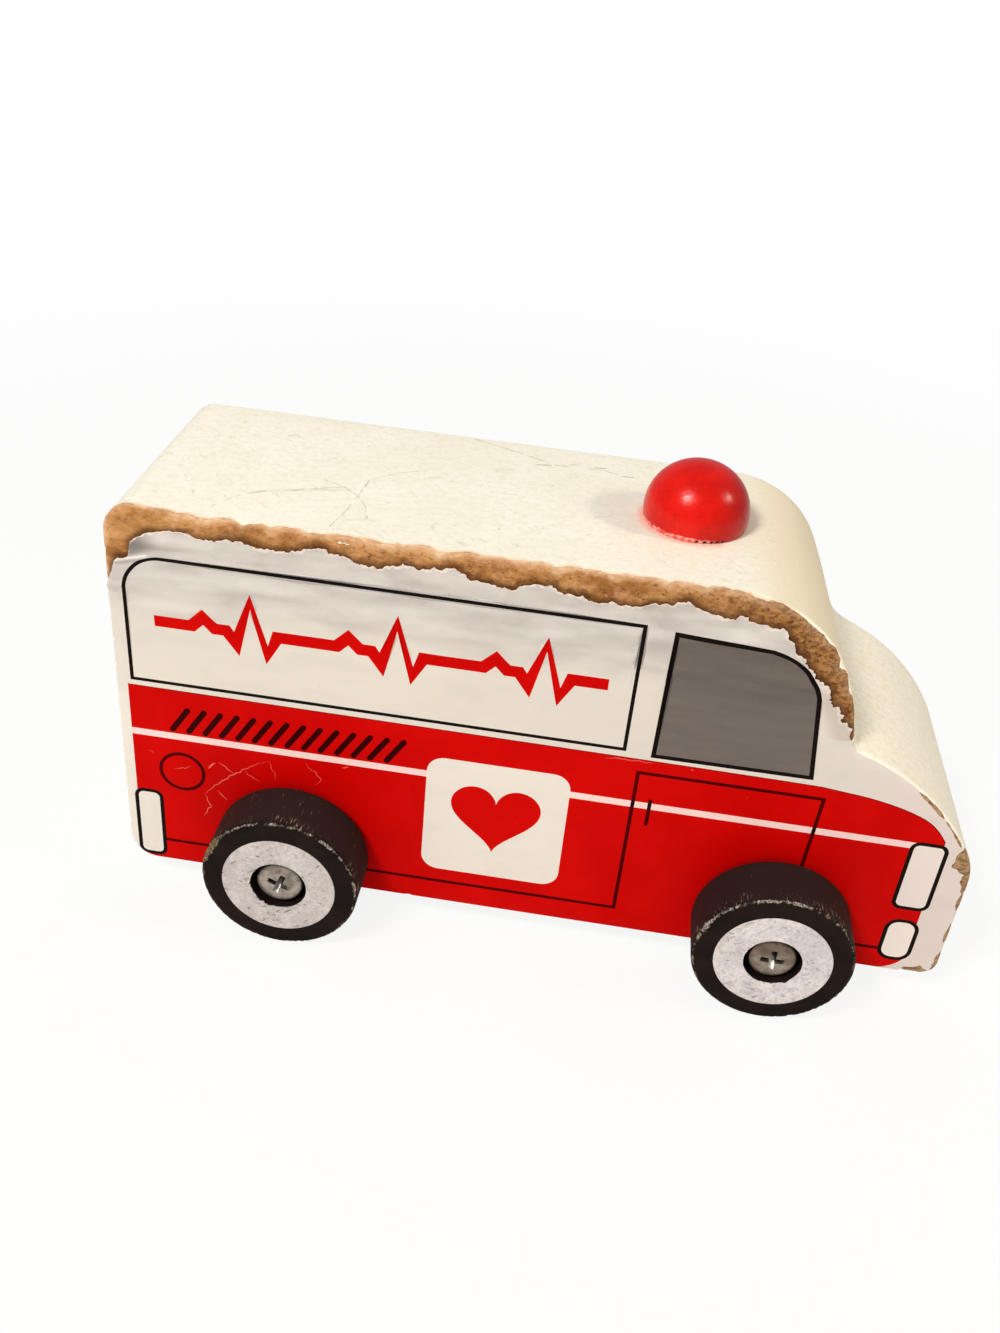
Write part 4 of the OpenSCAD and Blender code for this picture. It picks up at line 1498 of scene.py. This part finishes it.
def buildBeacon():
    foot = beaconLow[2]
    rise = beaconHigh[2] - foot - beacon["waist"]
    rounds = np.linspace(-math.asin(beacon["waist"] / rise), math.pi / 2, 64)
    dome = np.column_stack((beaconRadius * np.cos(rounds), foot + beacon["waist"] + rise * np.sin(rounds)))
    dome[-1, 0] = 0
    hole, roofOfHole, footRadius = beacon["dowelHole"], foot + beacon["holeDepth"], dome[0, 0]
    lower, upper, bend = beacon["footRounding"]
    section = np.concatenate((
        linePoints((0, roofOfHole), (hole, roofOfHole), 4),
        linePoints((hole, roofOfHole), (hole, foot), 6),
        linePoints((hole, foot), (footRadius - lower, foot), 5),
        [(footRadius - lower, foot), (footRadius - upper, foot + bend)],
        dome[1:],
    ))
    points, angles = lathe(section, beacon["turns"])
    nick = np.max([nearTurn(angles, place, width, 0.4) for place, width in beacon["nicks"]], axis=0)
    high = np.repeat(section[:, 1], len(angles)) - foot
    outside = np.repeat(section[:, 0], len(angles)) > hole + 1
    low = 1 - ease(high, beacon["nickHeight"] * 0.6, beacon["nickHeight"] * 1.3)
    mark = np.tile(nick, len(section)) * low * outside
    worn = nearTurn(angles, *beacon["footWear"], 0.4)
    rub = np.tile(worn, len(section)) * (1 - ease(high, 0.25, 1.5)) * outside
    points[:, :2] *= (1 - beacon["nickDepth"] * mark)[:, None]
    points[:, :2] += beaconMiddle[:2]
    faces = ringFaces(len(section), len(angles))
    return makePiece("turned_beacon", points, faces, [beaconFinish], values={"nick": mark, "rub": rub})


print("wheels")
wheelFinish = wheelPaint()
hubFinish = hubPaper()
screwFinish = screwSteel()
washerFinish = washerSteel()
for place in wheelPlaces:
    mount(buildWheel(place), place + "_wheel", "wheel_paint", "wheel_" + place)
    mount(buildHubRing(place), place + "_wheel", "hub_paper", "hub_label_" + place)
    turn = steel["screwTurns"][place]
    screw = softCopy("pan_screw_" + place, "axle_screw_" + place, screwFinish, steel["softness"], turn)
    mount(screw, "block", "screw_steel", "axle_screw_" + place)
    plate = softCopy("plain_washer_" + place, "washer_" + place, washerFinish, steel["softness"])
    mount(plate, "block", "washer_steel", "washer_" + place)

print("beacon")
beaconFinish = beaconPaint()
mount(buildBeacon(), "block", "beacon_paint", "beacon")
mount(softCopy("beech_dowel", "beacon_dowel", dowelWood(), 0.1), "block", "dowel_wood", "beacon_dowel")

# The fibres, by Geometry Nodes


def buildFibres():
    b = Builder("fibres", fibres, takesMesh=True)
    seed = b.value("Seed")
    shown = b.node("GeometryNodeInputNamedAttribute", {"Name": "shown"}, data_type="FLOAT")
    chosen = b.sum("GREATER_THAN", shown, fibresFrom)
    spread = {0: b.value("Mesh"), 1: chosen, "Density": b.value("Density"), "Seed": seed}
    spots = b.node("GeometryNodeDistributePointsOnFaces", spread)
    ways = Wire(b, spots.socket.node.outputs["Rotation"])
    bend = {0: 4, 1: (0, 0, -0.1), 2: (0.25, 0, 0.55), 3: (0.9, 0.1, 0.5)}
    hair = b.node("GeometryNodeCurveQuadraticBezier", bend)
    profile = b.node("GeometryNodeCurvePrimitiveCircle", {0: 3, 4: b.value("Thickness")})
    tube = b.node("GeometryNodeCurveToMesh", {"Curve": hair, "Profile Curve": profile, "Fill Caps": True})
    size = {2: b.value("Shortest"), 3: b.value("Longest"), "Seed": seed}
    length = b.node("FunctionNodeRandomValue", size, 1, data_type="FLOAT")
    hairs = {0: spots, 2: tube, "Rotation": ways, "Scale": length}
    placed = b.node("GeometryNodeInstanceOnPoints", hairs)
    turns = {0: (-0.5, -0.5, 0), 1: (0.5, 0.5, 6.28), "Seed": seed}
    turn = b.node("FunctionNodeRandomValue", turns, data_type="FLOAT_VECTOR")
    b.close(b.node("GeometryNodeRotateInstances", {0: placed, "Rotation": turn}), board)
    sizes = {**fibres, "Density": fibres["Density"] / mm**2}
    sizes.update({key: fibres[key] * mm for key in ("Shortest", "Longest")})
    mount(b.make("board_fibres", sizes, bodyBlock.data.copy()), "block", "painted_fibreboard")


print("fibres")
buildFibres()

# Stage, camera and lamps

view = {
    "place": (3.204, -188.852, 165.392),
    "azimuth": 4.18,
    "elevation": 33.08,
    "roll": 5.81,
    "lens": 34.205,
}


def aimCamera():
    camera = bpy.data.cameras.new("camera")
    camera.lens = view["lens"]
    camera.sensor_width = 36
    camera.sensor_fit = "AUTO"
    camera.clip_start = 0.01
    turn = Matrix.Identity(4)
    for angle, axis in ((view["azimuth"], "Z"), (90 - view["elevation"], "X"), (view["roll"], "Z")):
        turn = turn @ Matrix.Rotation(math.radians(angle), 4, axis)
    holder = addObject("camera", camera)
    holder.matrix_world = Matrix.Translation(Vector(view["place"]) * mm) @ turn
    bpy.context.scene.camera = holder


lamps = {
    "key": {
        "way": (-0.37, -0.54, 0.76),
        "distance": 0.75,
        "size": 0.16,
        "power": 3.9,
        "colour": (1, 0.985, 0.95),
    },
    "warm": {
        "way": (0.81, -0.03, 0.59),
        "distance": 0.8,
        "size": 0.12,
        "power": 1.6,
        "colour": (1, 0.87, 0.7),
    },
    "skyLevel": 0.37,
    "aim": 40,  # height of the place that the lamps point at
    "floorShare": 0.87,  # how much of the floor is plain white near the toy; all of it is, further out
    "floorFade": (0.14, 0.45),  # from and to, in metres
}
floorDisc = {"radius": 3000.0, "height": -0.05, "turns": 96, "colour": (0.9, 0.9, 0.89, 1)}
white = (1, 1, 1, 1)


def addLamp(name):
    values = lamps[name]
    lamp = bpy.data.lights.new(name, "AREA")
    lamp.shape = "DISK"
    lamp.size = values["size"]
    lamp.energy = values["power"]
    lamp.color = values["colour"]
    holder = addObject(name, lamp)
    way = Vector(values["way"]).normalized()
    holder.location = way * values["distance"] + Vector((0, 0, lamps["aim"] * mm))
    holder.rotation_euler = way.to_track_quat("Z", "Y").to_euler()


def emptyTree(owner):
    owner.use_nodes = True
    owner.node_tree.nodes.clear()
    return Tree(owner.node_tree)


def paintWorld():
    world = bpy.data.worlds.new("studio")
    bpy.context.scene.world = world
    t = emptyTree(world)
    levels = (lamps["skyLevel"], 1.0)
    plain, glow = [t.node("ShaderNodeBackground", {"Color": white, "Strength": level}) for level in levels]
    mixed = t.node("ShaderNodeMixShader", {0: t.node("ShaderNodeLightPath"), 1: plain, 2: glow})
    t.node("ShaderNodeOutputWorld", {"Surface": mixed})


def layFloor():
    finish = bpy.data.materials.new("paleFloor")
    t = emptyTree(finish)
    plain = t.node("ShaderNodeBsdfDiffuse", {"Color": floorDisc["colour"]})
    glow = t.node("ShaderNodeEmission", {"Color": white, "Strength": 1.0})
    away = t.vector("LENGTH", t.node("ShaderNodeTexCoord", output=3), output=1)
    share = t.node("ShaderNodeLightPath") * t.ease(away, *lamps["floorFade"], lamps["floorShare"])
    mixed = t.node("ShaderNodeMixShader", {0: share, 1: plain, 2: glow})
    t.node("ShaderNodeOutputMaterial", {"Surface": mixed})
    section = [(0.0, floorDisc["height"]), (floorDisc["radius"], floorDisc["height"])]
    points, _ = lathe(section, floorDisc["turns"])
    floor = makePiece("floor", points, ringFaces(len(section), floorDisc["turns"]), [finish], turnOut=False)


aimCamera()
addLamp("key")
addLamp("warm")
paintWorld()
layFloor()
bpy.context.scene.view_settings.view_transform = "Standard"
print("stage")
